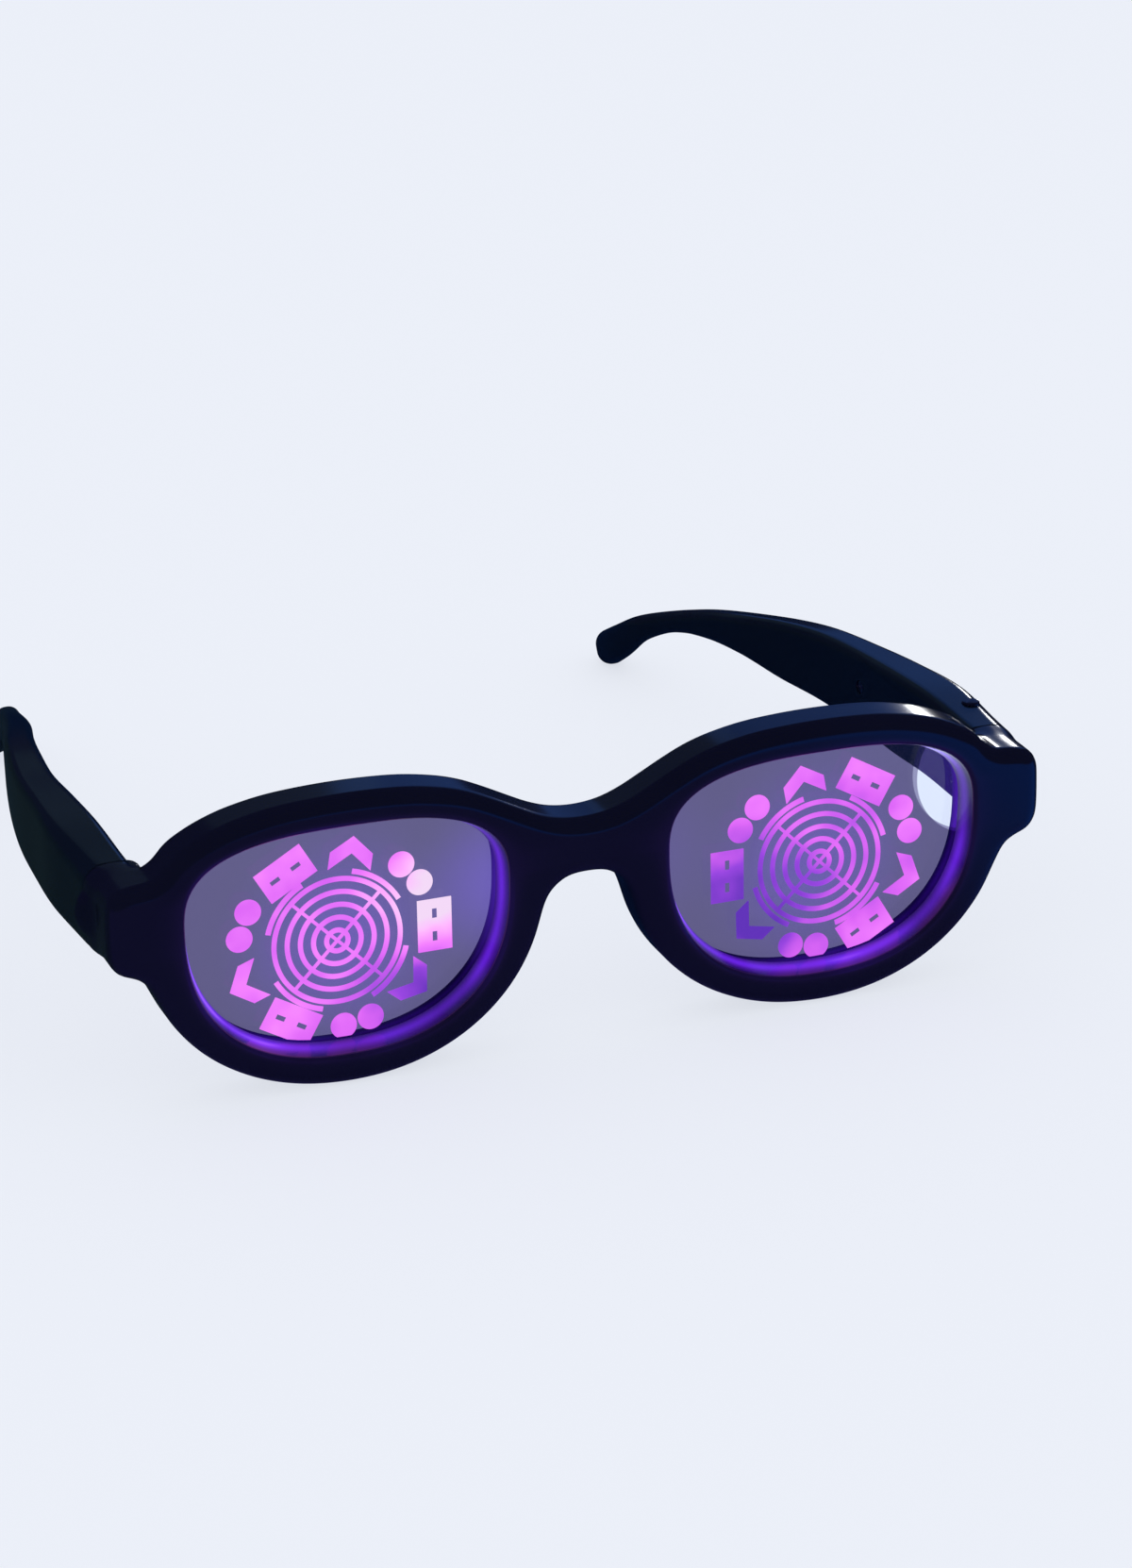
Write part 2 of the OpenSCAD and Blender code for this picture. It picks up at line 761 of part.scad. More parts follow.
module led_board() {
    color("#e8e8e0")
    block(
        [led_board_x, led_y - led_board_w / 2, led_mid_z - led_board_len / 2],
        [led_board_x + led_board_t, led_y + led_board_w / 2, led_mid_z + led_board_len / 2]
    );
}

module leds() {
    color("#f4e6ff")
    for (k = [-1, 0, 1]) {
        translate([0, 0, led_mid_z - 0.6 + k * led_pitch])
            block(
                [led_board_x + led_board_t, led_y - led_w / 2, -led_len / 2],
                [led_board_x + led_board_t + led_t, led_y + led_w / 2, led_len / 2]
            );
    }
}

module left_led_board() {
    led_board();
}

module right_led_board() {
    mirror([1, 0, 0]) led_board();
}

module left_leds() {
    leds();
}

module right_leds() {
    mirror([1, 0, 0]) leds();
}

module led_resistors() {
    color("#202020")
    both_sides()
        block(
            [led_board_x + led_board_t, led_y - 0.3, resistor_z - 0.5],
            [led_board_x + led_board_t + 0.4, led_y + 0.3, resistor_z + 0.5]
        );
}

module bridge_lead() {
    color("#b02020")
    block(
        [-led_board_x, lead_y, bridge_lead_z - lead_w / 2],
        [led_board_x, lead_y + lead_t, bridge_lead_z + lead_w / 2]
    );
}

module brow_lead() {
    color("#b02020") brow_route(lead_w, lead_y, lead_y + lead_t);
}

module hinge_lead() {
    color("#b02020")
    block(
        [wire_x - lead_t / 2, lead_y + lead_t, wire_z - lead_w / 2],
        [wire_x + lead_t / 2, board_y, wire_z + lead_w / 2]
    );
}

module rear_cover_screws() {
    color("#b8bcc4")
    both_sides()
        for (p = rear_screw_places) {
            screw_y(p[0], p[1], front_depth - 0.1, rear_screw_len);
        }
}

module hinge_pin() {
    color("#b8bcc4") {
        rod_z(hinge_x, hinge_y, pin_r, hinge_z, hinge_z + hinge_h);
        rod_z(hinge_x, hinge_y, pin_r + 0.45, hinge_z - 0.4, hinge_z);
    }
}

module left_hinge_pin() {
    hinge_pin();
}

module right_hinge_pin() {
    mirror([1, 0, 0]) hinge_pin();
}

// Temples

// Room that the covers lie in, drawn in by a gap
module recess(gap, y0, y1, tab) {
    block(
        [inner_x - 2, y0 + gap, pocket_bottom - cover_ledge + gap],
        [recess_x, y1 - gap, pocket_top + cover_ledge - gap]
    );
    if (tab) {
        rod_x(door_screw_y, pocket_mid_z, tab_r - gap, inner_x - 2, recess_x);
    }
}

module cover_screw_holes(r, x0, x1) {
    for (d = [-1, 1]) {
        rod_x(cover_screw_y, pocket_mid_z + d * cover_screw_rise, r, x0, x1);
    }
}

// Knuckle in the middle of the hinge, and the room round the end piece's knuckles. It is closed on top
// and open below, where the pin goes in
temple_knuckle_low = hinge_z + frame_knuckle_h + knuckle_gap;
temple_knuckle_high = hinge_z + hinge_h - frame_knuckle_h - knuckle_gap;

module hinge_relief() {
    rod_z(hinge_x, hinge_y, relief_r, 0, temple_knuckle_low);
    rod_z(hinge_x, hinge_y, relief_r, temple_knuckle_high, hinge_z + hinge_h + knuckle_gap);
    rod_z(hinge_x, hinge_y, pin_r + pin_gap, 0, temple_knuckle_high + 1);
}

module temple() {
    color("#101c28")
    difference() {
        union() {
            intersection() {
                loft(arm_rings);
                block([0, temple_y, -big], [big, big, big]);
            }
            rod_z(hinge_x, hinge_y, knuckle_r, temple_knuckle_low, temple_knuckle_high);
        }
        hinge_relief();
        recess(0, recess_y, recess_end_y, true);
        block([inner_x - 1, pocket_y, pocket_bottom], [floor_x, pocket_end_y, pocket_top]);
        cover_screw_holes(screw_r + screw_gap, inner_x, inner_x + cover_screw_len + 0.8);
        rod_x(door_screw_y, pocket_mid_z, screw_r + screw_gap, inner_x, inner_x + cover_screw_len + 0.8);
        ground();
    }
}

module left_temple() {
    difference() {
        temple();
        // Lead from the hinge, switch corner, button bore and the groove of the positive lead
        rod_y(wire_x, wire_z, wire_bore_r, temple_y - 1, pocket_y + 1);
        block(
            [board_x, pocket_y, switch_z - 0.3],
            [switch_x + switch_w + 0.2, button_y + switch_len / 2 + 0.4, pocket_top]
        );
        rod_z(button_x, button_y, flange_r + 0.1, pocket_top - 0.5, flange_z + flange_h + 0.1);
        rod_z(button_x, button_y, button_d / 2 + 0.1, pocket_top, big);
        block(
            [recess_x - 1, pocket_y + 4.4, pocket_bottom - groove_drop],
            [recess_x + groove_w, pocket_end_y, pocket_bottom + 1]
        );
    }
}

module right_temple() {
    mirror([1, 0, 0]) temple();
}

// Part of the inner plates between two distances back
module inner_plate(y0, y1, tab) {
    intersection() {
        loft(arm_rings);
        recess(cover_gap, y0, y1, tab);
    }
}

module cover_heads() {
    cover_screw_holes(screw_r + 0.15, 0, big);
    cover_screw_holes(screw_head_r + 0.1, 0, inner_x + head_recess);
}

module door_head() {
    rod_x(door_screw_y, pocket_mid_z, screw_r + 0.15, 0, big);
    rod_x(door_screw_y, pocket_mid_z, screw_head_r + 0.1, 0, inner_x + head_recess + 0.1);
}

module left_temple_cover() {
    color("#101c28")
    difference() {
        inner_plate(recess_y, door_y, false);
        cover_heads();
    }
}

module battery_door() {
    color("#101c28")
    difference() {
        inner_plate(door_y - cover_gap, recess_end_y, true);
        door_head();
    }
}

module right_temple_cover() {
    color("#101c28")
    mirror([1, 0, 0])
        difference() {
            inner_plate(recess_y, recess_end_y, true);
            cover_heads();
            door_head();
        }
}

module cover_screws() {
    color("#b8bcc4")
    for (d = [-1, 1]) {
        screw_x(inner_x + 0.1, cover_screw_y, pocket_mid_z + d * cover_screw_rise, cover_screw_len);
    }
}

module door_screw() {
    color("#b8bcc4") screw_x(inner_x + 0.2, door_screw_y, pocket_mid_z, cover_screw_len);
}

module left_cover_screws() {
    cover_screws();
}

module battery_door_screw() {
    door_screw();
}

module right_cover_screws() {
    mirror([1, 0, 0]) {
        cover_screws();
        door_screw();
    }
}

// Cells and contacts

module button_cells() {
    color("#c8ccd2")
    for (k = [0:2]) {
        rod_x(cell_y + k * cell_pitch, pocket_mid_z, cell_d / 2, cell_x, cell_x + cell_t);
    }
}

module cell_strap(x, first) {
    color("#c9a44a")
    block(
        [x, cell_y + first * cell_pitch - 2, pocket_mid_z - strap_h / 2],
        [x + strap_t, cell_y + (first + 1) * cell_pitch + 2, pocket_mid_z + strap_h / 2]
    );
}

module outer_cell_strap() {
    cell_strap(floor_x - strap_t, 1);
}

// Lies on the inside of the battery door, just clear of the cells
module inner_cell_strap() {
    cell_strap(recess_x, 0);
}

// Strip under the first cell, with a tail to the control board
module negative_contact() {
    tail_y = board_y + board_len - 0.9;
    color("#c9a44a") {
        block(
            [floor_x - strap_t, tail_y, pocket_mid_z - strap_h / 2],
            [floor_x, cell_y + 2, pocket_mid_z + strap_h / 2]
        );
        block(
            [switch_x, tail_y, pocket_mid_z - strap_h / 2],
            [floor_x, tail_y + strap_t, pocket_mid_z + strap_h / 2]
        );
    }
}

// Finger at the rim of the last cell, with a foot in the groove of the lead
module positive_contact() {
    color("#c9a44a") {
        block(
            [recess_x + 0.3, row_end_y + 0.03, pocket_mid_z - strap_h / 2],
            [floor_x, row_end_y + 0.03 + strap_t, pocket_mid_z + strap_h / 2]
        );
        block(
            [recess_x + 0.15, row_end_y + 0.03, pocket_bottom - groove_drop + 0.05],
            [recess_x + groove_w - 0.15, row_end_y + 0.03 + strap_t, pocket_mid_z]
        );
    }
}

// Round lead from the positive contact along its groove and up to the control board
lead_x = recess_x + groove_w / 2;
lead_z = pocket_bottom - groove_drop + lead_r + 0.1;
lead_bend_y = board_y + board_len;
lead_path = open_curve([
    [lead_x, row_end_y, lead_z],
    [lead_x, lead_bend_y + 3, lead_z],
    [lead_x, lead_bend_y + 1, lead_z],
    [lead_x + 0.1, lead_bend_y - 0.1, lead_z + 0.5],
    [lead_x + 0.6, lead_bend_y - 0.7, lead_z + 1.1],
    [board_x, lead_bend_y - 0.8, lead_z + 1.4]
], 3);

// Circle of eight points square to the route at point i, clockwise as seen along it
function lead_ring(i) =
    let (
        last = len(lead_path) - 1,
        v = i == last ? [1, 0, 0] : lead_path[i + 1] - lead_path[max(i - 1, 0)],
        d = v / norm(v),
        right = cross(d, [0, 0, 1]) / norm(cross(d, [0, 0, 1])),
        up = cross(right, d)
    )
    [for (k = [0:7]) lead_path[i] + lead_r * (cos(-45 * k) * right + sin(-45 * k) * up)];

module positive_lead() {
    color("#b02020") loft([for (i = [0:len(lead_path) - 1]) lead_ring(i)]);
}

module control_board() {
    color("#1f6b3a")
    block(
        [board_x, board_y, pocket_mid_z - board_h / 2],
        [board_x + board_t, board_y + board_len, pocket_mid_z + board_h / 2]
    );
}

module control_chip() {
    color("#181818")
    block([board_x - 0.8, board_y + 1.4, pocket_mid_z - 1], [board_x, board_y + 4, pocket_mid_z + 2]);
}

module control_resistor() {
    color("#202020")
    block([switch_x, board_y + 3.6, pocket_bottom + 1], [switch_x + 0.5, board_y + 4.6, pocket_bottom + 1.5]);
}

module switch_body() {
    color("#d8d8d8")
    difference() {
        block(
            [switch_x, button_y - switch_len / 2, switch_z],
            [switch_x + switch_w, button_y + switch_len / 2, switch_z + switch_h]
        );
        rod_z(button_x, button_y, plunger_r + 0.06, switch_z + 1.6, big);
    }
}

module switch_plunger() {
    color("#181818")
    rod_z(button_x, button_y, plunger_r, switch_z + 1.6 + button_travel + 0.1, flange_z);
}

// Button with a flange that keeps it in the temple, and a softly rounded top
module power_button() {
    crown = 0.3;
    r = button_d / 2;
    top = arm_top + button_proud;
    color("#15162c")
    translate([button_x, button_y, 0])
    rotate_extrude($fn = 48)
        polygon(concat(
            [[0, flange_z], [flange_r, flange_z], [flange_r, flange_z + flange_h], [r, flange_z + flange_h]],
            [for (t = [0, 30, 60, 90]) [r - crown + crown * cos(t), top - crown + crown * sin(t)]],
            [[0, top]]
        ));
}

place() front_shell();
place() rear_cover();
place() left_lens();
place() right_lens();
place() left_lens_marks();
place() right_lens_marks();
place() left_led_board();
place() right_led_board();
place() left_leds();
place() right_leds();
place() led_resistors();
place() bridge_lead();
place() brow_lead();
place() hinge_lead();
place() rear_cover_screws();
place() left_hinge_pin();
place() right_hinge_pin();
place() left_temple();
place() left_temple_cover();
place() left_cover_screws();
place() battery_door();
place() battery_door_screw();
place() button_cells();
place() outer_cell_strap();
place() inner_cell_strap();
place() positive_contact();
place() negative_contact();
place() positive_lead();
place() control_board();
place() control_chip();
place() control_resistor();
place() switch_body();
place() switch_plunger();
place() power_button();
place() right_temple();
place() right_temple_cover();
place() right_cover_screws();
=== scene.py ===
"""Light-up glasses: smooth moulded surfaces, finishes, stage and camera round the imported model.

Sizes are in millimetres in the part's own design frame, where y is 0 at the face of the front and runs
back along the temples. `place` turns them into metres in the row frame.
"""

import math

import bpy
import numpy as np
from mathutils import Matrix


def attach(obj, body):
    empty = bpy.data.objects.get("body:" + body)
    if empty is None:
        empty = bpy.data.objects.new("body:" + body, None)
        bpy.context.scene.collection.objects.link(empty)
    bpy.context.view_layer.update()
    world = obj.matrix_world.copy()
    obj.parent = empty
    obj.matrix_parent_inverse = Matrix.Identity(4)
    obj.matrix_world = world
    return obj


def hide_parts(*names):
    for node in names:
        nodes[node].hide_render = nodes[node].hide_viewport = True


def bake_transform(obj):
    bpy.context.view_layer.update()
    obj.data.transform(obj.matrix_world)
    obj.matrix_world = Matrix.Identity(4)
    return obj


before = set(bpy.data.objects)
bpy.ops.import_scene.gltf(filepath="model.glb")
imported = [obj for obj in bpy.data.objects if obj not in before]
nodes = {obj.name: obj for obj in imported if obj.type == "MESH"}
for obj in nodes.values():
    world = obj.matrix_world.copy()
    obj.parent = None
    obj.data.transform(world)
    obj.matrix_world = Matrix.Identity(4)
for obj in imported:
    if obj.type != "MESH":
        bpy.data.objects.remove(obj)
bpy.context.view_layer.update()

# Sizes of the front, the same as in the part's source

FRONT_DEPTH = 8.5
EDGE_R = 2.5
BACK_R = 1.3
LENS_X = 38.3
HALF_W = 25.3
NOSE_X = LENS_X - HALF_W
OPENING_TOP = 12.9
OPENING_BOTTOM = 23.7
RIM_TOP = 4.7
RIM_BOTTOM = 5.2
RIM_SIDE = 6.3
FOOT_CUT = 0.2
BRIDGE_H = 8.9
BRIDGE_DROP = 1.0
LENS_LINE = RIM_BOTTOM + OPENING_BOTTOM - FOOT_CUT
BRIDGE_UNDER = LENS_LINE - BRIDGE_DROP
BRIDGE_TOP = BRIDGE_UNDER + BRIDGE_H
END_X = 75.2
END_H = 14.3
END_RISE = 8.1
END_TOP = LENS_LINE + END_RISE
END_BOTTOM = END_TOP - END_H
COVER_Y = 6.8
SEAT_Y = 4.0
SEAT_GROW = 0.6
LIP_R = 0.7

# The wall of an opening narrows by this much from its lip to this depth
WALL_TAPER = 1.0
WALL_END_Y = SEAT_Y + 0.5

# Sizes of the temples

TEMPLE_LEN = 144.4
SIDE_X = END_X + 0.6
ARM_T = 7.8
INNER_X = SIDE_X - ARM_T
ARM_H = 14.3
ARM_MID = END_TOP - END_H / 2
ARM_EDGE = 1.7
END_EDGE = 3.6
TIP_H = 6.4
TIP_T = 5.4
NECK_H = 3.8
NECK_T = 4.2
BOW = 15.9
BOX_END = 56.0
TIP_Y = TEMPLE_LEN - TIP_H / 2
SEAM_Y = 12.0
TEMPLE_Y = SEAM_Y + 0.2

# Lean of the front, at which rims and temple tips stand on one surface

LEAN = math.radians(2.14)
FOOT_Y = FRONT_DEPTH / 2
TIP_Z = (TIP_H - FOOT_CUT) / 2 + (TIP_Y - FOOT_Y) * math.tan(LEAN)
MID_Y = (TEMPLE_LEN + (EDGE_R + TIP_Z) * math.sin(LEAN)) / 2

# Sizes of the hinges

KNUCKLE_R = 2.0
KNUCKLE_H = 3.1
KNUCKLE_GAP = 0.15
HINGE_X = INNER_X + 0.6
HINGE_Y = TEMPLE_Y + KNUCKLE_R
HINGE_Z = ARM_MID - ARM_H / 2 + 1.1
HINGE_H = 11.6
HINGE_TOP = HINGE_Z + HINGE_H
BARREL_LOW = HINGE_Z + KNUCKLE_H + KNUCKLE_GAP
BARREL_HIGH = HINGE_TOP - KNUCKLE_H - KNUCKLE_GAP
RELIEF_R = KNUCKLE_R + 0.45
WEB_OUT = 1.2

# Sizes of the pocket in a temple and of what opens into it

POCKET_H = 8.1
POCKET_MID_Z = ARM_MID - 0.4
POCKET_TOP = POCKET_MID_Z + POCKET_H / 2
POCKET_BOTTOM = POCKET_MID_Z - POCKET_H / 2
COVER_LEDGE = 0.9
RECESS_Y = TEMPLE_Y + 4.8
RECESS_X = INNER_X + 1.2
POCKET_Y = RECESS_Y + 3.1
WORKS_LEN = 11
CELL_PITCH = 8.3
CELL_R = 3.95
POCKET_END_Y = POCKET_Y + WORKS_LEN + 2 * CELL_PITCH + CELL_R + 0.35
RECESS_END_Y = POCKET_END_Y + 0.4
DOOR_SCREW_Y = RECESS_END_Y + 1.2
DOOR_SCREW_R = 0.6
DOOR_SCREW_END_X = INNER_X + 4.4
TAB_R = 2.6
FLOOR_X = INNER_X + 5.3

# Middle of the lead's bore in x and z, and of the button's in x and y
WIRE = (INNER_X + 3.2, ARM_MID + 0.5)
WIRE_BORE_R = 0.9
BUTTON = (INNER_X + 5.2, POCKET_Y + 1.8)
BUTTON_BORE_R = 1.5
FLANGE_BORE_R = 1.85

# Sideways and upwards past every piece, for the far sides of what cuts them
PAST_SIDE = 90
PAST_TOP = 60

# Metres in a millimetre
MM = 0.001


def leaned(directions):
    """The front leans back so that rims and tips stand on one surface: y' = y cos a + z sin a and
    z' = z cos a - y sin a."""
    x, y, z = np.moveaxis(np.asarray(directions, float), -1, 0)
    return np.stack([x, y * math.cos(LEAN) + z * math.sin(LEAN), z * math.cos(LEAN) - y * math.sin(LEAN)], -1)


def place(points):
    """Design millimetres to row metres: leaned back round the feet, moved to the middle of the depth, cut
    flat where it stands, then a thousandth."""
    p = leaned(np.asarray(points, float) - [0, FOOT_Y, 0]) + [0, FOOT_Y - MID_Y, 0]
    p[..., 2] = np.maximum(p[..., 2], 0)
    return p * MM


# Meshes

# Edges that turn by more than this many degrees stay sharp
SHARP = 30

# Points round every cylinder
ROD_SIDES = 48


def put(name, data):
    """A new object in the scene."""
    made = bpy.data.objects.new(name, data)
    bpy.context.scene.collection.objects.link(made)
    return made


def merged(points):
    """Which points to keep where some are equal to a tenth of a micrometre, and where each one went."""
    tenths = np.round(points * 1e7).astype(np.int64)
    _, first, index = np.unique(tenths, axis=0, return_index=True, return_inverse=True)
    return first, index.ravel()


def shade(mesh, sharp=SHARP):
    """Smooth shading, with edges sharper than an angle in degrees kept sharp."""
    mesh.polygons.foreach_set("use_smooth", np.ones(len(mesh.polygons), bool))
    mesh.set_sharp_from_angle(angle=math.radians(sharp))


def make_piece(name, points, faces, glow=None, sharp=SHARP):
    """A mesh from design points and faces, with equal points merged, smooth up to the sharp angle, and
    with the light on each point where glow gives it."""
    points = place(points)
    first, index = merged(points)
    mesh = bpy.data.meshes.new(name)
    mesh.from_pydata(points[first].tolist(), [], [[int(index[i]) for i in f] for f in faces])
    if glow is not None:
        layer = mesh.attributes.new("glow", "FLOAT", "POINT")
        layer.data.foreach_set("value", np.asarray(glow, np.float32)[first])
    shade(mesh, sharp)
    mesh.validate()
    return put(name, mesh)


def grid_faces(rows, columns, flip=False):
    """Quads between neighbouring rows of a grid of closed rows, whose points are numbered row by row."""
    k, i = np.meshgrid(np.arange(rows - 1), np.arange(columns), indexing="ij")
    j = (i + 1) % columns
    quads = np.stack([k * columns + i, k * columns + j, (k + 1) * columns + j, (k + 1) * columns + i], -1)
    quads = quads.reshape(-1, 4)
    return (quads[:, ::-1] if flip else quads).tolist()


def loft(rings):
    """Points and faces of a solid through rings that run clockwise as seen from the first one, with the
    first and the last ring closed by a flat face."""
    rings = np.asarray(rings, float)
    rows, columns = rings.shape[:2]
    faces = grid_faces(rows, columns)
    faces.append(list(range(columns - 1, -1, -1)))
    faces.append([(rows - 1) * columns + i for i in range(columns)])
    return rings.reshape(-1, 3), faces


def joined(parts):
    """Several (points, faces) pairs as one pair."""
    points, faces, start = [], [], 0
    for p, f in parts:
        points.append(np.asarray(p, float))
        faces += [[i + start for i in face] for face in f]
        start += len(p)
    return np.vstack(points), faces


def mirrored(part):
    """A (points, faces) pair on the other side, at -x, its faces turned round so that they still face
    out."""
    points, faces = part
    return np.asarray(points, float) * [-1, 1, 1], [f[::-1] for f in faces]


def at_depth(p, y):
    """Points in x and z, set at a depth."""
    return np.c_[p[:, 0], np.full(len(p), y), p[:, 1]]


def box_part(low, high):
    """A box between two corners: its front face carried straight back."""
    (x0, y0, z0), (x1, y1, z1) = low, high
    return loft([[(x0, y, z1), (x1, y, z1), (x1, y, z0), (x0, y, z0)] for y in (y0, y1)])


def rod_part(axis, a, b, radius, start, end, chamfer=0.0):
    """A cylinder along an axis, from start to end, with the other two coordinates a and b, its ends
    chamfered. The ring is a circle of the given radius, less the chamfer at both ends. Along x and z the
    rings run the other way round, so there the faces are turned."""
    t = -np.arange(ROD_SIDES) * 2 * np.pi / ROD_SIDES
    c, s = np.cos(t), np.sin(t)
    steps = [(start, radius - chamfer), (start + chamfer, radius)]
    steps += [(end - chamfer, radius), (end, radius - chamfer)]
    if not chamfer:
        steps = [steps[0], steps[-1]]
    rings = []
    for along, r in steps:
        u, v, w = np.full(ROD_SIDES, along), a + r * c, b + r * s
        rings.append({"x": np.c_[u, v, w], "y": np.c_[v, u, w], "z": np.c_[v, w, u]}[axis])
    points, faces = loft(rings)
    if axis != "y":
        faces = [f[::-1] for f in faces]
    return points, faces


def carve(piece, cutters):
    """Cuts solids, each a (points, faces) pair, out of a piece, and shades what is left again."""
    for part in cutters:
        tool = make_piece("cutter", *part)
        cut = piece.modifiers.new("cut", "BOOLEAN")
        cut.operation, cut.solver, cut.object = "DIFFERENCE", "EXACT", tool
        done = bpy.data.meshes.new_from_object(piece.evaluated_get(bpy.context.evaluated_depsgraph_get()))
        piece.modifiers.clear()
        old, piece.data = piece.data, done
        bpy.data.meshes.remove(old)
        bpy.data.objects.remove(tool)
    shade(piece.data)


def weigh_normals(piece):
    """Lets the large flat faces set the normals at the edges of the roundings beside them."""
    weighted = piece.modifiers.new("weighted normals", "WEIGHTED_NORMAL")
    weighted.keep_sharp = True


def smooth_copy(node):
    """A copy of a CAD node with its loose triangles merged and its round faces shaded smooth."""
    source = nodes[node].data
    co = np.zeros(len(source.vertices) * 3, np.float32)
    source.vertices.foreach_get("co", co)
    co = co.reshape(-1, 3)
    corners = np.zeros(len(source.loops), np.int32)
    source.loops.foreach_get("vertex_index", corners)
    first, index = merged(co)
    triangles = index[corners].reshape(-1, 3)
    real = (triangles != np.roll(triangles, 1, 1)).all(1)
    mesh = bpy.data.meshes.new(node + "_smooth")
    mesh.from_pydata(co[first].tolist(), [], triangles[real].tolist())
    shade(mesh)
    piece = put(node + "_smooth", mesh)
    weigh_normals(piece)
    return piece


# Curves


def lerp(a, b, t):
    """From a to b as t goes from 0 to 1."""
    return a + (b - a) * t


def cubic(a, b, c, d, t):
    """The cubic from b to c whose slopes there are half of c - a and half of d - b."""
    return 0.5 * (2 * b + (c - a) * t + (2 * a - 5 * b + 4 * c - d) * t**2 + (3 * b - a - 3 * c + d) * t**3)


def closed_curve(p, steps):
    """Smooth closed curve through points: one cubic from each point to the next."""
    t = (np.arange(steps) / steps)[None, :, None]
    a, b, c, d = (np.roll(p, k, 0)[:, None, :] for k in (1, 0, -1, -2))
    return cubic(a, b, c, d, t).reshape(-1, p.shape[1])


def open_curve(p, steps):
    """The same curve through rows of numbers with two ends."""
    q = np.vstack([p[:1], p, p[-1:]])
    t = (np.arange(steps) / steps)[None, :, None]
    a, b, c, d = (q[k : len(q) - 3 + k, None, :] for k in range(4))
    return np.vstack([cubic(a, b, c, d, t).reshape(-1, p.shape[1]), p[-1:]])


def even(p, count):
    """The same closed line with points at equal distances along it."""
    q = np.vstack([p, p[:1]])
    along = np.r_[0, np.cumsum(np.linalg.norm(np.diff(q, axis=0), axis=1))]
    at = np.arange(count) * along[-1] / count
    return np.c_[np.interp(at, along, q[:, 0]), np.interp(at, along, q[:, 1])]


def softened(values, sigma):
    """A closed row of numbers blurred with a bell of sigma steps."""
    reach = int(4 * sigma) + 1
    k = np.arange(-reach, reach + 1)
    weights = np.exp(-0.5 * (k / sigma) ** 2)
    weights /= weights.sum()
    return sum(w * np.roll(values, s, 0) for w, s in zip(weights, k))


# Outline of the front

# How square each oval is above and below its widest line: 2 is an ellipse
OPENING_SQUARE = (2.8, 2.35)
RIM_SQUARE = (2.4, 2.1)


def oval(side, up, down, square, t):
    """Squared oval round the middle of the lens: x and z are signed powers of cos t and sin t, with one
    height above the widest line and another below it."""
    t = np.radians(np.asarray(t, float))
    s, c = np.sin(t), np.cos(t)
    e = 2 / np.where(s >= 0, *square)
    x = LENS_X + np.sign(c) * side * np.abs(c) ** e
    z = LENS_LINE + np.where(s >= 0, up, -down) * np.abs(s) ** e
    return np.c_[x, z]


def opening_points(grow, t):
    """The oval of the lens opening, grown on every side."""
    return oval(HALF_W + grow, OPENING_TOP + grow, OPENING_BOTTOM + grow, OPENING_SQUARE, t)


def rim_points(t):
    """The oval of the rim's outside."""
    return oval(HALF_W + RIM_SIDE, OPENING_TOP + RIM_TOP, OPENING_BOTTOM + RIM_BOTTOM, RIM_SQUARE, t)


# Points round the whole outline and round half of it
COLUMNS = 720
HALF = COLUMNS // 2

# Half of the outline, clockwise as seen from the front: bridge, rim, end piece, rim and nose side
half_outline = np.vstack(
    [
        [(0, BRIDGE_TOP), (NOSE_X * 0.3, BRIDGE_TOP + 0.4), (NOSE_X * 0.57, BRIDGE_TOP + 1.6)],
        [(NOSE_X * 0.86, BRIDGE_TOP + 3.5)],
        rim_points([135, 125, 115, 103, 90, 77, 65, 55, 45, 37]),
        [(END_X - 9, END_TOP + 1.5), (END_X - 6.9, END_TOP + 0.3), (END_X - 4, END_TOP)],
        [(END_X - 1.4, END_TOP - 0.8), (END_X - 0.2, END_TOP - 2.6), (END_X, END_TOP - 5)],
        [(END_X, END_BOTTOM + 4.4), (END_X - 0.4, END_BOTTOM + 2.2), (END_X - 1.7, END_BOTTOM + 0.5)],
        [(END_X - 3.7, END_BOTTOM - 0.3), (END_X - 5.4, END_BOTTOM - 1.3), (END_X - 6.5, END_BOTTOM - 3.1)],
        rim_points([-21, *range(-30, -161, -10)]),
        [(NOSE_X * 0.51, BRIDGE_UNDER - 3.6), (NOSE_X * 0.38, BRIDGE_UNDER - 1.4)],
        [(NOSE_X * 0.22, BRIDGE_UNDER - 0.25), (0, BRIDGE_UNDER)],
    ]
)
outline = even(closed_curve(np.vstack([half_outline, half_outline[-2:0:-1] * [-1, 1]]), 12), COLUMNS)
outline = softened(outline, 1.4)
outline = (outline + np.roll(outline[::-1], 1, 0) * [-1, 1]) / 2
outline[[0, HALF], 0] = 0

# The edge's rounding takes at most this share of the radius of an inward bend
BEND_SHARE = 0.7
step = np.roll(outline, -1, 0) - np.roll(outline, 1, 0)
inward = np.c_[step[:, 1], -step[:, 0]] / np.linalg.norm(step, axis=1)[:, None]
turn = np.arctan2(step[:, 1], step[:, 0])
bend = np.roll(turn, -1) - np.roll(turn, 1)
bend = -((bend + np.pi) % (2 * np.pi) - np.pi) / np.linalg.norm(step, axis=1)
edge_share = np.minimum(1, BEND_SHARE / (EDGE_R * np.maximum(softened(bend, 2), 0.01)))
edge_share = softened(edge_share, 4)[:, None]


def inset(d):
    """The outline drawn in by d, less where it turns more tightly than the edge's rounding."""
    return outline + d * edge_share * inward


# Front shell and rear cover

# Points on the middle line, where the two halves meet
MIDDLE = 8


def half_ring(ring):
    """The +X half of a closed ring, and back up its middle line to the start."""
    half = ring[: HALF + 1]
    share = np.arange(1, MIDDLE + 1)[:, None] / (MIDDLE + 1)
    return np.vstack([half, half[-1] + (half[0] - half[-1]) * share])


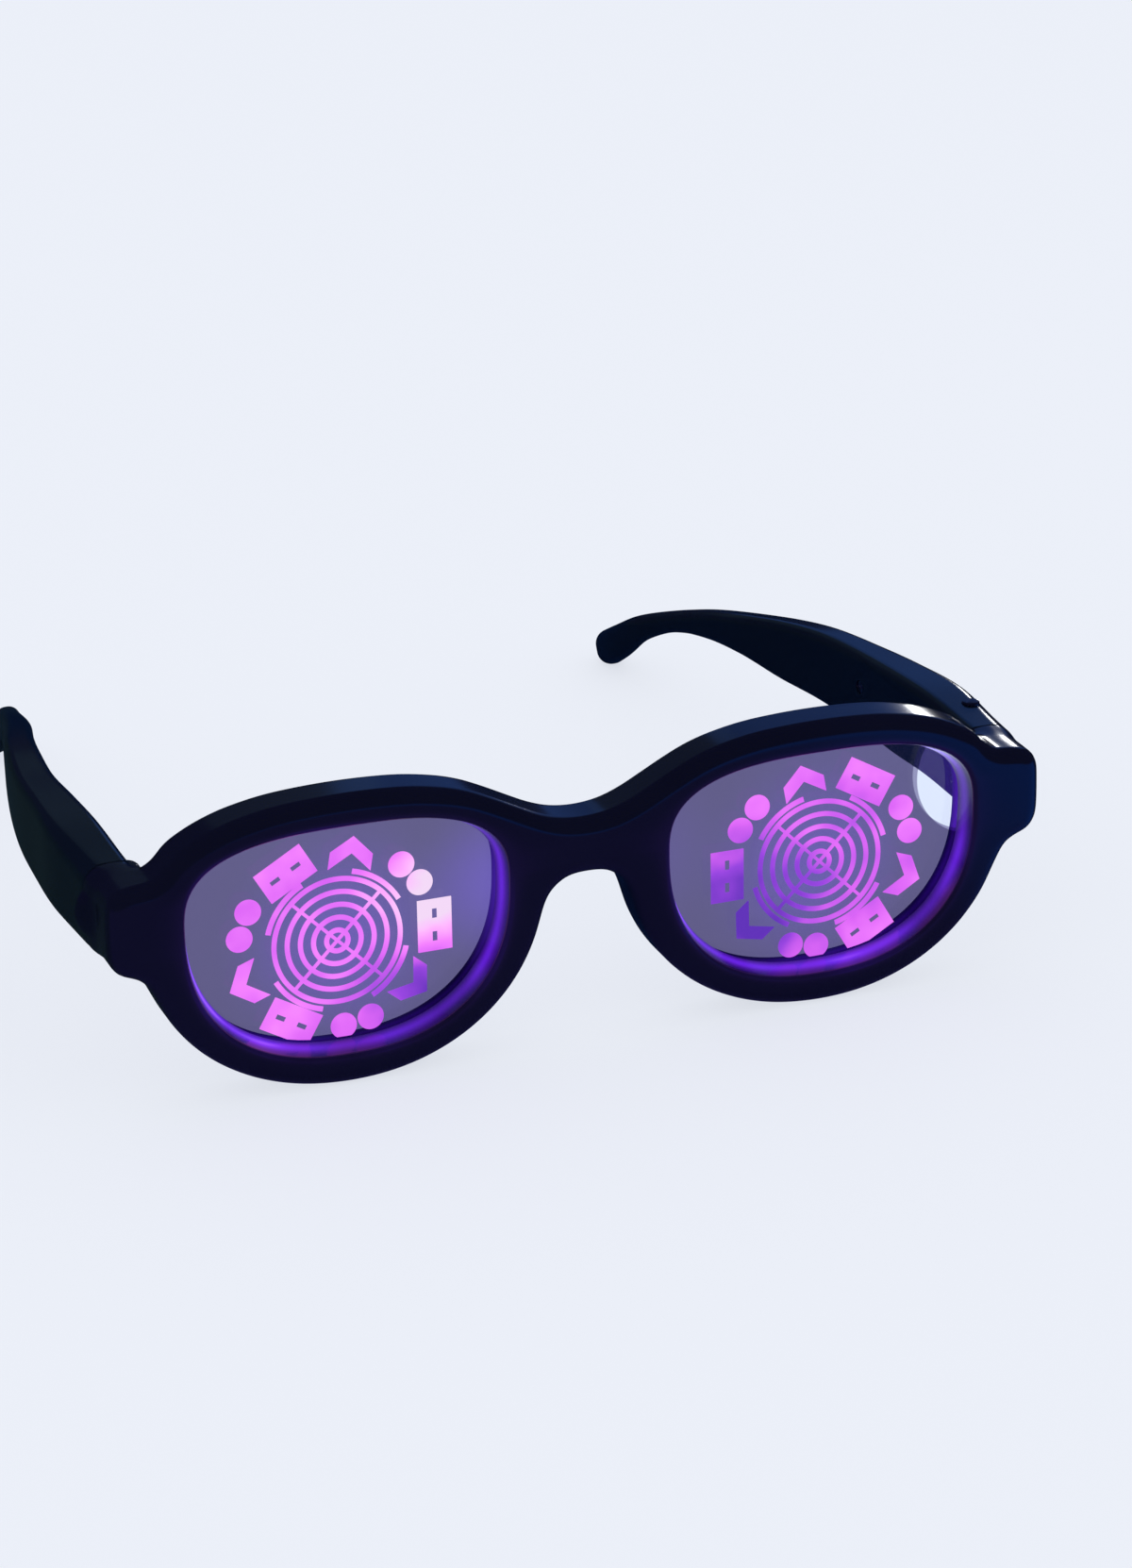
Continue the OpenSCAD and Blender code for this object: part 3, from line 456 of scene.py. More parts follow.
def opening_angles(ring, grow):
    """For each point of a half ring, the angle of the opening's point in the same direction."""
    t = np.linspace(-180, 180, 2881)
    p = opening_points(grow, t)
    angle = np.unwrap(np.arctan2(p[:, 1] - LENS_LINE, p[:, 0] - LENS_X))
    return np.interp(np.arctan2(ring[:, 1] - LENS_LINE, ring[:, 0] - LENS_X), angle, t)


def plate_with_openings(name, rows, walls, flip):
    """Two halves, each a grid of rows of (points in x and z, depth, glow) from the outline in through the
    opening and out again, and the outer wall, a grid of (inset, depth) rows of the outline."""
    points = np.vstack([at_depth(p, y) for p, y, _ in rows])
    glow = np.concatenate([np.full(len(p), light) for p, _, light in rows])
    half = (points, grid_faces(len(rows), len(rows[0][0]), flip=flip))
    wall = np.vstack([at_depth(inset(d), y) for d, y in walls])
    parts = [half, mirrored(half), (wall, grid_faces(len(walls), COLUMNS))]
    return make_piece(name, *joined(parts), glow=np.r_[glow, glow, np.zeros(len(wall))])


def quarter_turn(count, start=0):
    """Angles from start degrees to 90 degrees, in radians."""
    return np.radians(np.linspace(start, 90, count))


face_ring = half_ring(inset(EDGE_R))
angles = opening_angles(face_ring, LIP_R)

# Light on the wall of an opening: an even share, and a bell round the depth where it is brightest. It
# falls from the inner to the outer edge of the lip, and from there to nothing over the face
GLOW_EVEN = 0.3
GLOW_BELL = 0.66
GLOW_DEPTH = 2.6
GLOW_SPREAD = 1.15
LIP_GLOW = 0.2
FACE_GLOW = 0.14


def shell_rows():
    """From the back of the front shell in to the lens seat, up the tapered wall of the opening, round its
    lip by a quarter circle, and out over the face in a straight blend to the outline's inset."""
    seat = opening_points(SEAT_GROW, angles)
    rows = [(half_ring(inset(0)), COVER_Y, 0), (seat, COVER_Y, 0), (seat, SEAT_Y, 1)]
    for y in np.linspace(SEAT_Y, LIP_R, 14):
        narrowed = WALL_TAPER * (y - LIP_R) / (WALL_END_Y - LIP_R)
        bell = math.exp(-(((y - GLOW_DEPTH) / GLOW_SPREAD) ** 2))
        rows.append((opening_points(-narrowed, angles), y, GLOW_EVEN + GLOW_BELL * bell))
    for q in quarter_turn(6, 15):
        c, s = math.cos(q), math.sin(q)
        light = LIP_GLOW - (LIP_GLOW - FACE_GLOW) * s
        rows.append((opening_points(LIP_R - LIP_R * c, angles), LIP_R - LIP_R * s, light))
    lip = opening_points(LIP_R, angles)
    for s in (0.08, 0.18, 0.3, 0.5, 0.75, 1):
        rows.append((lip + (face_ring - lip) * s, 0, FACE_GLOW * (1 - s) ** 4))
    return rows


shell_walls = [(EDGE_R * (1 - math.sin(q)), EDGE_R * (1 - math.cos(q))) for q in quarter_turn(10)]
shell_walls.append((0, COVER_Y))
front_shell = plate_with_openings("front_shell_skin", shell_rows(), shell_walls, flip=False)

# Chamfer of the rear cover's front edge, and its opening: growth, depth and light, with a lip of 0.3 mm
COVER_CHAMFER = 0.06
BACK_GLOW = 0.1
COVER_OPENING = (
    (-0.4, COVER_Y, 0.6),
    (-0.4, FRONT_DEPTH - 0.3, 0.3),
    (-0.31, FRONT_DEPTH - 0.09, 0.15),
    (-0.1, FRONT_DEPTH, BACK_GLOW),
)


def cover_rows():
    """From the front of the rear cover in to its opening, back through it and round its lip, and out over
    the back in a straight blend to the outline's inset."""
    rows = [(half_ring(inset(COVER_CHAMFER)), COVER_Y, 0)]
    rows += [(opening_points(grow, angles), y, light) for grow, y, light in COVER_OPENING]
    lip = rows[-1][0]
    back_ring = half_ring(inset(BACK_R))
    for s in (0.1, 0.3, 0.6, 1):
        rows.append((lip + (back_ring - lip) * s, FRONT_DEPTH, BACK_GLOW * (1 - s) ** 4))
    return rows


cover_walls = [(COVER_CHAMFER, COVER_Y), (0, COVER_Y + COVER_CHAMFER)]
for q in quarter_turn(7):
    cover_walls.append((BACK_R * (1 - math.cos(q)), FRONT_DEPTH - BACK_R + BACK_R * math.sin(q)))
rear_cover = plate_with_openings("rear_cover_skin", cover_rows(), cover_walls, flip=True)

# The rear cover ends beside the end pieces, and each of its screws has a recess for the head
HEAD_RECESS_R = 1.2
HEAD_RECESS_DEPTH = 0.65
end_block = box_part((INNER_X - 0.1, 0, -5), (PAST_SIDE, 20, PAST_TOP))
cutters = [end_block, mirrored(end_block)]
screw_places = [
    (NOSE_X * 0.34, BRIDGE_TOP - 2.4),
    opening_points(3.2, [-32])[0],
    (LENS_X, RIM_BOTTOM / 2 - FOOT_CUT / 2 - 0.1),
]
for x, z in screw_places:
    recess = rod_part("y", x, z, HEAD_RECESS_R, FRONT_DEPTH - HEAD_RECESS_DEPTH, 12)
    cutters += [recess, mirrored(recess)]
carve(rear_cover, cutters)

# Temples' rows and the sections through them

SPOKES = 96
DIRECTIONS = np.radians(90 - np.arange(SPOKES) * 360 / SPOKES)

# The largest rounding of a section, as a share of its smaller side
ROUND_LIMIT = 0.47


def section(w, h, outer, inner, count):
    """Rounded rectangle, clockwise from the front, with count points on each corner and one rounding for
    the outer corners, another for the inner ones."""
    t = np.radians(90 - 90 * np.arange(4)[:, None] - np.linspace(0, 90, count)[None, :])
    r = np.minimum([outer, outer, inner, inner], ROUND_LIMIT * min(w, h))[:, None]
    x = np.array([1, 1, -1, -1])[:, None] * (w / 2 - r) + r * np.cos(t)
    z = np.array([1, -1, -1, 1])[:, None] * (h / 2 - r) + r * np.sin(t)
    return np.c_[x.ravel(), z.ravel()]


def by_direction(p, centre):
    """A closed line read at fixed directions from a centre."""
    q = p - centre
    angle = np.arctan2(q[:, 1], q[:, 0])
    order = np.argsort(angle)
    angle, reach = angle[order], np.linalg.norm(q, axis=1)[order]
    reach = np.interp(DIRECTIONS, np.r_[angle - 2 * np.pi, angle, angle + 2 * np.pi], np.tile(reach, 3))
    return centre + reach[:, None] * np.c_[np.cos(DIRECTIONS), np.sin(DIRECTIONS)]


def box_row(y, drop, h, inward_by, edge):
    """A row of the straight part, with its middle lowered and its outer face moved in."""
    return (y, ARM_MID - drop, h, SIDE_X - inward_by, ARM_T - inward_by, edge, ARM_EDGE)


def tail_row(along, drop, h, bow_share, t, edge):
    """A row of the part behind the box: along and drop are shares of the way from there to the middle of
    the tip, and bow_share is how much of the inward bow the outer face has taken."""
    return (
        BOX_END + (TIP_Y - BOX_END) * along,
        ARM_MID - drop * (ARM_MID - TIP_Z),
        h,
        SIDE_X - BOW * bow_share,
        t,
        ARM_EDGE + edge,
        ARM_EDGE + edge,
    )


# Each row: distance back, height of the middle, height, outer face, thickness, outer and inner rounding
arm_rows = open_curve(
    np.array(
        [
            box_row(2, 0, END_H, 0.8, END_EDGE),
            box_row(FRONT_DEPTH, 0, END_H, 0.3, END_EDGE),
            box_row(17, 0.1, ARM_H + 0.1, 0, lerp(ARM_EDGE, END_EDGE, 0.7)),
            box_row(30, 0, ARM_H + 0.2, -0.4, lerp(ARM_EDGE, END_EDGE, 0.3)),
            box_row(43, 0.8, ARM_H + 0.1, 0.6, ARM_EDGE),
            tail_row(0, 0.07, ARM_H * 0.94, 0.1, lerp(ARM_T, NECK_T, 0.41), 0),
            tail_row(0.154, 0.09, ARM_H * 0.85, 0.22, lerp(ARM_T, NECK_T, 0.58), 0),
            tail_row(0.297, 0.135, ARM_H * 0.724, 0.377, lerp(ARM_T, NECK_T, 0.72), 0),
            tail_row(0.43, 0.17, ARM_H * 0.506, 0.554, lerp(ARM_T, NECK_T, 0.83), 0),
            tail_row(0.573, 0.264, NECK_H * 1.34, 0.69, lerp(ARM_T, NECK_T, 0.94), 0.2),
            tail_row(0.706, 0.404, NECK_H, 0.83, NECK_T, 0.4),
            tail_row(0.819, 0.594, lerp(NECK_H, TIP_H, 0.3), 0.975, lerp(NECK_T, TIP_T, 0.15), 0.6),
            tail_row(0.921, 0.838, lerp(NECK_H, TIP_H, 0.85), 1, lerp(NECK_T, TIP_T, 0.66), 0.8),
            tail_row(1, 1, TIP_H, 0.95, TIP_T, 1),
        ]
    ),
    14,
)


def arm_row(y):
    """The row at a distance back, read in a straight line between its neighbours."""
    return np.array([np.interp(y, arm_rows[:, 0], column) for column in arm_rows.T])


# End pieces and hinges

# Where the end piece's small back edge starts, and the middle from which its sections are read
END_BACK_Y = SEAM_Y - 0.2
END_MIDDLE = np.array([INNER_X + 3.8, ARM_MID])


def drawn_in(ring, share, y):
    """A section of the end piece at a depth, made smaller round its middle."""
    return at_depth(END_MIDDLE + (ring - END_MIDDLE) * share, y)


def end_piece():
    """Loft from the end of the outline, closed along the rear cover's edge, to the temple's section. The
    share of the temple's section is a smooth step of the distance back, and both ends are drawn in a
    little: the front one stays inside the shell, and the back one gets a small rounded edge."""
    beyond_cover = (outline[:, 0] > INNER_X) & (outline[:, 1] > END_BOTTOM - 0.6)
    bow = outline[beyond_cover]
    bow = bow[np.argsort(-np.arctan2(bow[:, 1] - ARM_MID, bow[:, 0] - (INNER_X - 2)))]
    top, low = bow[0], bow[-1]
    side = np.c_[np.full(40, INNER_X), np.linspace(low[1], top[1], 40)]
    under = np.c_[np.linspace(low[0], INNER_X, 10), np.full(10, low[1])]
    first = by_direction(np.vstack([bow, under, side]), END_MIDDLE)
    _, mid, h, outer_x, t, outer_r, inner_r = arm_row(SEAM_Y)
    last = by_direction(section(t, h, outer_r, inner_r, 24) + [outer_x - t / 2, mid], END_MIDDLE)
    rings = [drawn_in(first, 0.995, COVER_Y - 1)]
    for y in np.linspace(COVER_Y, END_BACK_Y, 12):
        s = (y - COVER_Y) / (END_BACK_Y - COVER_Y)
        rings.append(at_depth(first + (last - first) * s * s * (3 - 2 * s), y))
    rings.append(drawn_in(last, 0.985, SEAM_Y - 0.05))
    rings.append(drawn_in(last, 0.96, SEAM_Y))
    return loft(rings)


def knuckle(low, high, web):
    """A chamfered cylinder round the hinge's pin and, where it has a web, a block from it into the end
    piece, 0.05 mm lower than the cylinder at both ends."""
    parts = [rod_part("z", HINGE_X, HINGE_Y, KNUCKLE_R, low, high, chamfer=0.15)]
    if web:
        near_corner = (HINGE_X - KNUCKLE_R, SEAM_Y - 1, low + 0.05)
        parts.append(box_part(near_corner, (HINGE_X + WEB_OUT, HINGE_Y, high - 0.05)))
    return joined(parts)


def front_hinge():
    """The end piece's two knuckles, under and over the temple's own."""
    low = knuckle(HINGE_Z, HINGE_Z + KNUCKLE_H, True)
    high = knuckle(HINGE_TOP - KNUCKLE_H, HINGE_TOP, True)
    return joined([low, high])


left_end = make_piece("left_end_piece", *end_piece())
carve(left_end, [rod_part("y", *WIRE, WIRE_BORE_R, COVER_Y, SEAM_Y + 1)])
right_end = make_piece("right_end_piece", *mirrored(end_piece()))
left_knuckles = make_piece("left_end_knuckles", *front_hinge())
right_knuckles = make_piece("right_end_knuckles", *mirrored(front_hinge()))

# Temples


def arm_ring(row, along, ahead, share):
    """Rounded section square to the temple's line in side view: across it by its thickness, up by its
    height, moved ahead along the line and shared down for the round end."""
    y, mid, h, outer_x, t, outer_r, inner_r = row
    p = section(t * share, h * share, outer_r, inner_r, 9)
    x = outer_x - t / 2 + p[:, 0]
    return np.c_[x, y + along[0] * ahead - along[1] * p[:, 1], mid + along[1] * ahead + along[0] * p[:, 1]]


def arm_part():
    """Loft through the sections of all rows, from a small front edge to a tip that is rounded by a quarter
    circle."""
    slope = np.gradient(arm_rows[:, :2], axis=0)
    slope /= np.linalg.norm(slope, axis=1)[:, None]
    start = arm_row(TEMPLE_Y)
    rings = [arm_ring(start, (1, 0), ahead, share) for ahead, share in ((0, 0.97), (0.05, 0.985), (0.2, 1))]
    later = arm_rows[:, 0] > TEMPLE_Y + 0.8
    rings += [arm_ring(row, along, 0, 1) for row, along in zip(arm_rows[later], slope[later])]
    for t in np.radians([8, 16, 24, 32, 40, 48, 56, 64, 71, 77, 82, 86]):
        rings.append(arm_ring(arm_rows[-1], slope[-1], TIP_H / 2 * math.sin(t), math.cos(t)))
    return loft(rings)


def arm_cutters(left):
    """Solids that open the temple: the recess and tab of the covers, the pocket, the room round the
    end piece's knuckles and, on the left, the lead's bore and the button's bore with its flange."""
    recess_low = (INNER_X - 2, RECESS_Y, POCKET_BOTTOM - COVER_LEDGE)
    recess_high = (RECESS_X, RECESS_END_Y, POCKET_TOP + COVER_LEDGE)
    cut = [
        box_part(recess_low, recess_high),
        rod_part("x", DOOR_SCREW_Y, POCKET_MID_Z, TAB_R, INNER_X - 2, RECESS_X),
        rod_part("x", DOOR_SCREW_Y, POCKET_MID_Z, DOOR_SCREW_R, INNER_X, DOOR_SCREW_END_X),
        box_part((INNER_X - 1, POCKET_Y, POCKET_BOTTOM), (FLOOR_X, POCKET_END_Y, POCKET_TOP)),
        rod_part("z", HINGE_X, HINGE_Y, RELIEF_R, 0, BARREL_LOW),
        rod_part("z", HINGE_X, HINGE_Y, RELIEF_R, BARREL_HIGH, HINGE_TOP + KNUCKLE_GAP),
    ]
    if left:
        cut += [
            rod_part("y", *WIRE, WIRE_BORE_R, TEMPLE_Y - 1, POCKET_Y + 1),
            rod_part("z", *BUTTON, BUTTON_BORE_R, POCKET_TOP - 0.5, PAST_TOP),
            rod_part("z", *BUTTON, FLANGE_BORE_R, POCKET_TOP - 0.5, POCKET_TOP + 1),
        ]
    return cut


def temple(name, left):
    """A temple with its hinge barrel, made on the wearer's left and turned over for the right."""
    arm = make_piece(name, *arm_part())
    carve(arm, arm_cutters(left))
    barrel = make_piece(name + "_barrel", *knuckle(BARREL_LOW, BARREL_HIGH, False))
    if not left:
        for piece in (arm, barrel):
            piece.data.transform(Matrix.Scale(-1, 4, (1, 0, 0)))
            piece.data.flip_normals()
    return arm, barrel


left_temple, left_barrel = temple("left_temple_skin", True)
right_temple, right_barrel = temple("right_temple_skin", False)

# Lead over the left hinge

# How far each core's middle lies from the lead's, and its half width and half height
CORE_RISE = 0.29
CORE_ACROSS = 0.3
CORE_UP = 0.31
LEAD_END_Y = 20.2


def hinge_lead():
    """Flat twin lead: two round cores side by side, so its section is two circles that just merge,
    carried straight back over the hinge in many short steps."""
    t = -np.arange(12) * 2 * np.pi / 12
    parts = []
    for rise in (-CORE_RISE, CORE_RISE):
        ring = np.c_[WIRE[0] + CORE_ACROSS * np.cos(t), WIRE[1] + rise + CORE_UP * np.sin(t)]
        parts.append(loft([at_depth(ring, y) for y in np.linspace(COVER_Y, LEAD_END_Y, 60)]))
    return joined(parts)


lead = make_piece("hinge_lead_cores", *hinge_lead(), sharp=80)

# Finishes


def linear(hex_colour):
    """sRGB hex to linear red, green, blue and alpha."""
    parts = [int(hex_colour[i : i + 2], 16) / 255 for i in (1, 3, 5)]
    return tuple(c / 12.92 if c <= 0.04045 else ((c + 0.055) / 1.055) ** 2.4 for c in parts) + (1.0,)


def add(tree, kind, inputs=None, stops=(), **settings):
    """Adds a node, sets it up, gives each named or numbered input a value or a link, and gives a colour
    ramp its stops, each a position and a colour."""
    made = tree.nodes.new(kind)
    for key, value in settings.items():
        setattr(made, key, value)
    for key, value in (inputs or {}).items():
        if isinstance(value, bpy.types.NodeSocket):
            tree.links.new(value, made.inputs[key])
        else:
            made.inputs[key].default_value = value
    for k, (at, colour) in enumerate(stops):
        stop = made.color_ramp.elements[k] if k < 2 else made.color_ramp.elements.new(at)
        stop.position = at
        stop.color = linear(colour)
    return made


def per_metre(size):
    """Scale of a pattern whose features have a size in millimetres."""
    return 1 / (size * MM)


def finish(name, **sockets):
    """A material with its own node tree, a Principled shader and that shader's constant sockets."""
    made = bpy.data.materials.new(name)
    made.use_nodes = True
    tree = made.node_tree
    shader = tree.nodes["Principled BSDF"]
    for key, value in sockets.items():
        shader.inputs[key.replace("_", " ")].default_value = value
    return made, tree, shader


def mottle(tree, shader, colours, patch, rough, relief, grain):
    """Slow change between two colours and two roughnesses in patches, and a fine relief of at most a tenth
    of a millimetre. Patch and grain are sizes in millimetres. Returns the place on the piece."""
    where = add(tree, "ShaderNodeTexCoord").outputs["Object"]
    patches = {"Vector": where, "Scale": per_metre(patch), "Detail": 3.0}
    slow = add(tree, "ShaderNodeTexNoise", patches).outputs["Fac"]
    both = {"Factor": slow, 6: linear(colours[0]), 7: linear(colours[1])}
    tint = add(tree, "ShaderNodeMix", both, data_type="RGBA")
    polish = add(tree, "ShaderNodeMapRange", {"Value": slow, "To Min": rough[0], "To Max": rough[1]})
    grains = {"Vector": where, "Scale": per_metre(grain), "Detail": 2.0}
    fine = add(tree, "ShaderNodeTexNoise", grains).outputs["Fac"]
    bump = add(tree, "ShaderNodeBump", {"Height": fine, "Strength": relief, "Distance": 0.1 * MM})
    tree.links.new(tint.outputs[2], shader.inputs["Base Color"])
    tree.links.new(polish.outputs["Result"], shader.inputs["Roughness"])
    tree.links.new(bump.outputs["Normal"], shader.inputs["Normal"])
    return where


def near(tree, where, spot, reach):
    """1 at a spot, falling smoothly to 0 at reach, both in design millimetres, measured across the lens
    only."""
    at = add(tree, "ShaderNodeVectorMath", {0: where, 1: tuple(place(spot))}, operation="SUBTRACT")
    flat = add(tree, "ShaderNodeVectorMath", {0: at.outputs["Vector"], 1: (1, 0, 1)}, operation="MULTIPLY")
    away = add(tree, "ShaderNodeVectorMath", {0: flat.outputs["Vector"]}, operation="LENGTH").outputs["Value"]
    fall = {"Value": away, "From Min": 0.0, "From Max": reach * MM, "To Min": 1.0, "To Max": 0.0}
    return add(tree, "ShaderNodeMapRange", fall, interpolation_type="SMOOTHSTEP").outputs["Result"]


def with_spots(tree, where, level, spots):
    """A level to which soft spots are added, each given by x, z and reach in millimetres and its gain."""
    for x, z, reach, gain in spots:
        terms = {0: near(tree, where, (x, 0, z), reach), 1: gain, 2: level}
        level = add(tree, "ShaderNodeMath", terms, operation="MULTIPLY_ADD").outputs[0]
    return level


# Polished moulded ABS, near-black navy: a mirror-like gloss with the slight orange peel that the tool's
# polish leaves, about 3 mm across. Light from the lens edge shows on the walls of the openings, kept per
# point as glow: violet deep down, and only a dark purple where it spills over the lip
WALL_LIGHT = [
    (0.0, "#000000"),
    (0.1, "#0a031c"),
    (0.25, "#200756"),
    (0.55, "#4c14a8"),
    (0.85, "#6a22e6"),
    (1.0, "#9048fa"),
]
shell_plastic, tree, shader = finish("polished_navy_abs", IOR=1.53, Emission_Strength=1.0)
navy = ("#06071a", "#080a20")
where = mottle(tree, shader, navy, patch=16.67, rough=(0.13, 0.19), relief=0.05, grain=2.857)
glow = add(tree, "ShaderNodeAttribute", attribute_name="glow").outputs["Fac"]
cloud = add(tree, "ShaderNodeTexNoise", {"Vector": where, "Scale": per_metre(18.18), "Detail": 1.0})
span = {"Value": cloud.outputs["Fac"], "From Min": 0.35, "From Max": 0.7, "To Min": 0.55, "To Max": 1.15}
uneven = add(tree, "ShaderNodeMapRange", span).outputs["Result"]
lit = add(tree, "ShaderNodeMath", {0: glow, 1: uneven}, operation="MULTIPLY").outputs[0]
ramp = add(tree, "ShaderNodeValToRGB", {"Fac": lit}, stops=WALL_LIGHT)
tree.links.new(ramp.outputs["Color"], shader.inputs["Emission Color"])

# The same ABS from the temples' own mould: the same gloss, a little greener
temple_plastic, tree, shader = finish("polished_teal_black_abs", IOR=1.53)
teal_black = ("#030a18", "#050d1c")
mottle(tree, shader, teal_black, patch=16.67, rough=(0.13, 0.2), relief=0.05, grain=2.857)

# Cast acrylic, tinted lilac-grey and edge-lit: clear and glassy, with a violet haze behind the print and
# by the lights at the nose. A painted highlight sits at the outer corner of the wearer's left lens: the
# tint is left out there and the acrylic glows faintly. Its border is a circle at half the reach of a spot
# there, where that is at 0.5
HIGHLIGHT_SPOT = (66.0, SEAT_Y, 33.0)
HIGHLIGHT_RADIUS = 10.3
RINGS_Z = 22.0
HAZE = [
    (-LENS_X, RINGS_Z, 21, 0.22),
    (LENS_X, RINGS_Z, 21, 0.2),
    (-NOSE_X, 27.0, 16, 0.26),
    (NOSE_X, 27.0, 14, 0.05),
]
lens_acrylic, tree, shader = finish("tinted_cast_acrylic", IOR=1.49, Roughness=0.02, Transmission_Weight=1.0)
where = add(tree, "ShaderNodeTexCoord").outputs["Object"]
# Painted highlight: no tint inside a circle at the outer corner of the wearer's left lens
corner = near(tree, where, HIGHLIGHT_SPOT, 2 * HIGHLIGHT_RADIUS)
border = {"Value": corner, "From Min": 0.495, "From Max": 0.505}
painted_highlight = add(tree, "ShaderNodeMapRange", border).outputs["Result"]
both = {"Factor": painted_highlight, 6: linear("#6e6890"), 7: linear("#f6ffff")}
tint = add(tree, "ShaderNodeMix", both, data_type="RGBA")
tree.links.new(tint.outputs[2], shader.inputs["Base Color"])
shader.inputs["Emission Color"].default_value = linear("#5a30c8")
# The painted highlight also glows faintly violet
highlight_glow = add(tree, "ShaderNodeMath", {0: painted_highlight, 1: 0.1}, operation="MULTIPLY").outputs[0]
tree.links.new(with_spots(tree, where, highlight_glow, HAZE), shader.inputs["Emission Strength"])

# White scattering ink, screen printed and lit through the acrylic: soft pink, hot by the upper light of
# the wearer's right lens and violet low down towards the nose, where less light arrives
HEAT = [
    (-23.0, 27.0, 15, 0.5),
    (-25.0, 11.0, 16, -0.4),
    (25.0, 14.0, 20, -0.45),
    (41.0, 20.0, 20, -0.16),
]
INK_LIGHT = [
    (0.1, "#5a2ab4"),
    (0.3, "#9440dc"),
    (0.5, "#dc64f4"),
    (0.65, "#f480ff"),
    (0.85, "#ffb4ff"),
    (1.0, "#f2d8f4"),
]
ink = {"Base_Color": linear("#2c1238"), "Roughness": 0.5, "Emission_Strength": 1.0}
glow_print, tree, shader = finish("edge_lit_scattering_ink", **ink)
where = add(tree, "ShaderNodeTexCoord").outputs["Object"]
cloud = add(tree, "ShaderNodeTexNoise", {"Vector": where, "Scale": per_metre(7.692), "Detail": 2.0})
base = {0: cloud.outputs["Fac"], 1: 0.5, 2: 0.33}
heat = add(tree, "ShaderNodeMath", base, operation="MULTIPLY_ADD").outputs[0]
ramp = add(tree, "ShaderNodeValToRGB", {"Fac": with_spots(tree, where, heat, HEAT)}, stops=INK_LIGHT)
tree.links.new(ramp.outputs["Color"], shader.inputs["Emission Color"])

# Most of the small inner parts have a grain finer than 0.1 mm. That is too fine to show, so theirs is
# drawn 0.2 to 0.4 mm wide

# Zinc-plated steel, turned: bright and a little blue, with a fine grain instead of turning marks
zinc_steel, tree, shader = finish("zinc_plated_steel", Metallic=1.0)
mottle(tree, shader, ("#b9bcc2", "#c9ccd1"), patch=2.5, rough=(0.25, 0.38), relief=0.1, grain=0.25)

# Nickel-plated cell cans, pressed: a warm satin grey
nickel, tree, shader = finish("nickel_plated_can", Metallic=1.0)
mottle(tree, shader, ("#bfc0bd", "#d2d2ce"), patch=3.333, rough=(0.22, 0.32), relief=0.06, grain=0.4)

# Spring brass strip, rolled: yellow with a soft shine
brass, tree, shader = finish("rolled_spring_brass", Metallic=1.0)
mottle(tree, shader, ("#c29a4c", "#d2ac60"), patch=3.333, rough=(0.28, 0.4), relief=0.08, grain=0.3333)

# Glass-epoxy board under green solder mask: green and half shiny, a little uneven over the glass weave
green_mask, tree, shader = finish("green_solder_mask", IOR=1.5)
mottle(tree, shader, ("#145c32", "#1a6c3c"), patch=2.0, rough=(0.3, 0.42), relief=0.15, grain=0.3333)

# Glass-epoxy board under white solder mask: chalky white, so that it throws the lights' colour back
white_mask, tree, shader = finish("white_solder_mask", IOR=1.5)
mottle(tree, shader, ("#e2e2dc", "#eeeee8"), patch=2.0, rough=(0.35, 0.45), relief=0.1, grain=0.3333)

# Black moulded epoxy of chips and resistors, from a sand-blasted mould: dull black and grainy
black_epoxy, tree, shader = finish("black_moulded_epoxy", IOR=1.5)
mottle(tree, shader, ("#141416", "#1c1c1f"), patch=1.667, rough=(0.5, 0.62), relief=0.3, grain=0.2)

# Switch housing, moulded of glass-filled nylon: pale grey and dull, roughened by the fibres
nylon, tree, shader = finish("glass_filled_nylon", IOR=1.53)
mottle(tree, shader, ("#c9c9c4", "#d6d6d2"), patch=2.0, rough=(0.45, 0.55), relief=0.2, grain=0.25)

# Clear epoxy moulded over lit dies: smooth, pale, and glowing violet
epoxy = {"IOR": 1.5, "Emission_Color": linear("#b070ff"), "Emission_Strength": 3.0}
led_epoxy, tree, shader = finish("lit_led_epoxy", **epoxy)
mottle(tree, shader, ("#e8d8ff", "#f4ecff"), patch=2.5, rough=(0.12, 0.2), relief=0.05, grain=0.3333)

# PVC insulation of the leads, extruded: dark red and half matt
pvc, tree, shader = finish("extruded_red_pvc", IOR=1.53)
mottle(tree, shader, ("#7c1016", "#90161c"), patch=2.5, rough=(0.35, 0.45), relief=0.12, grain=0.3333)

# Pieces on their bodies


def dress(piece, material, body, slot, *replaced):
    """Gives a piece its material, the body that it rides on and the nodes that it replaces; the slot is not
    used.
    """
    piece.data.materials.clear()
    piece.data.materials.append(material)
    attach(piece, body)
    if replaced:
        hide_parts(*replaced)


front_extras = (left_end, right_end, left_knuckles, right_knuckles)
for piece in (front_shell, rear_cover, left_temple, right_temple, *front_extras):
    weigh_normals(piece)
dress(front_shell, shell_plastic, "front", "frame", "front_shell")
dress(rear_cover, shell_plastic, "front", "frame", "rear_cover")
for piece in front_extras:
    dress(piece, shell_plastic, "front", "frame")
dress(left_temple, temple_plastic, "left_arm", "temple", "left_temple")
dress(left_barrel, temple_plastic, "left_arm", "temple")
dress(right_temple, temple_plastic, "right_arm", "temple", "right_temple")
dress(right_barrel, temple_plastic, "right_arm", "temple")
lead.data.materials.append(pvc)
tuple(place((WIRE[0], 12.5, WIRE[1])))
tuple(place((WIRE[0], 17.5, WIRE[1])))
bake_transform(lead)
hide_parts("hinge_lead")

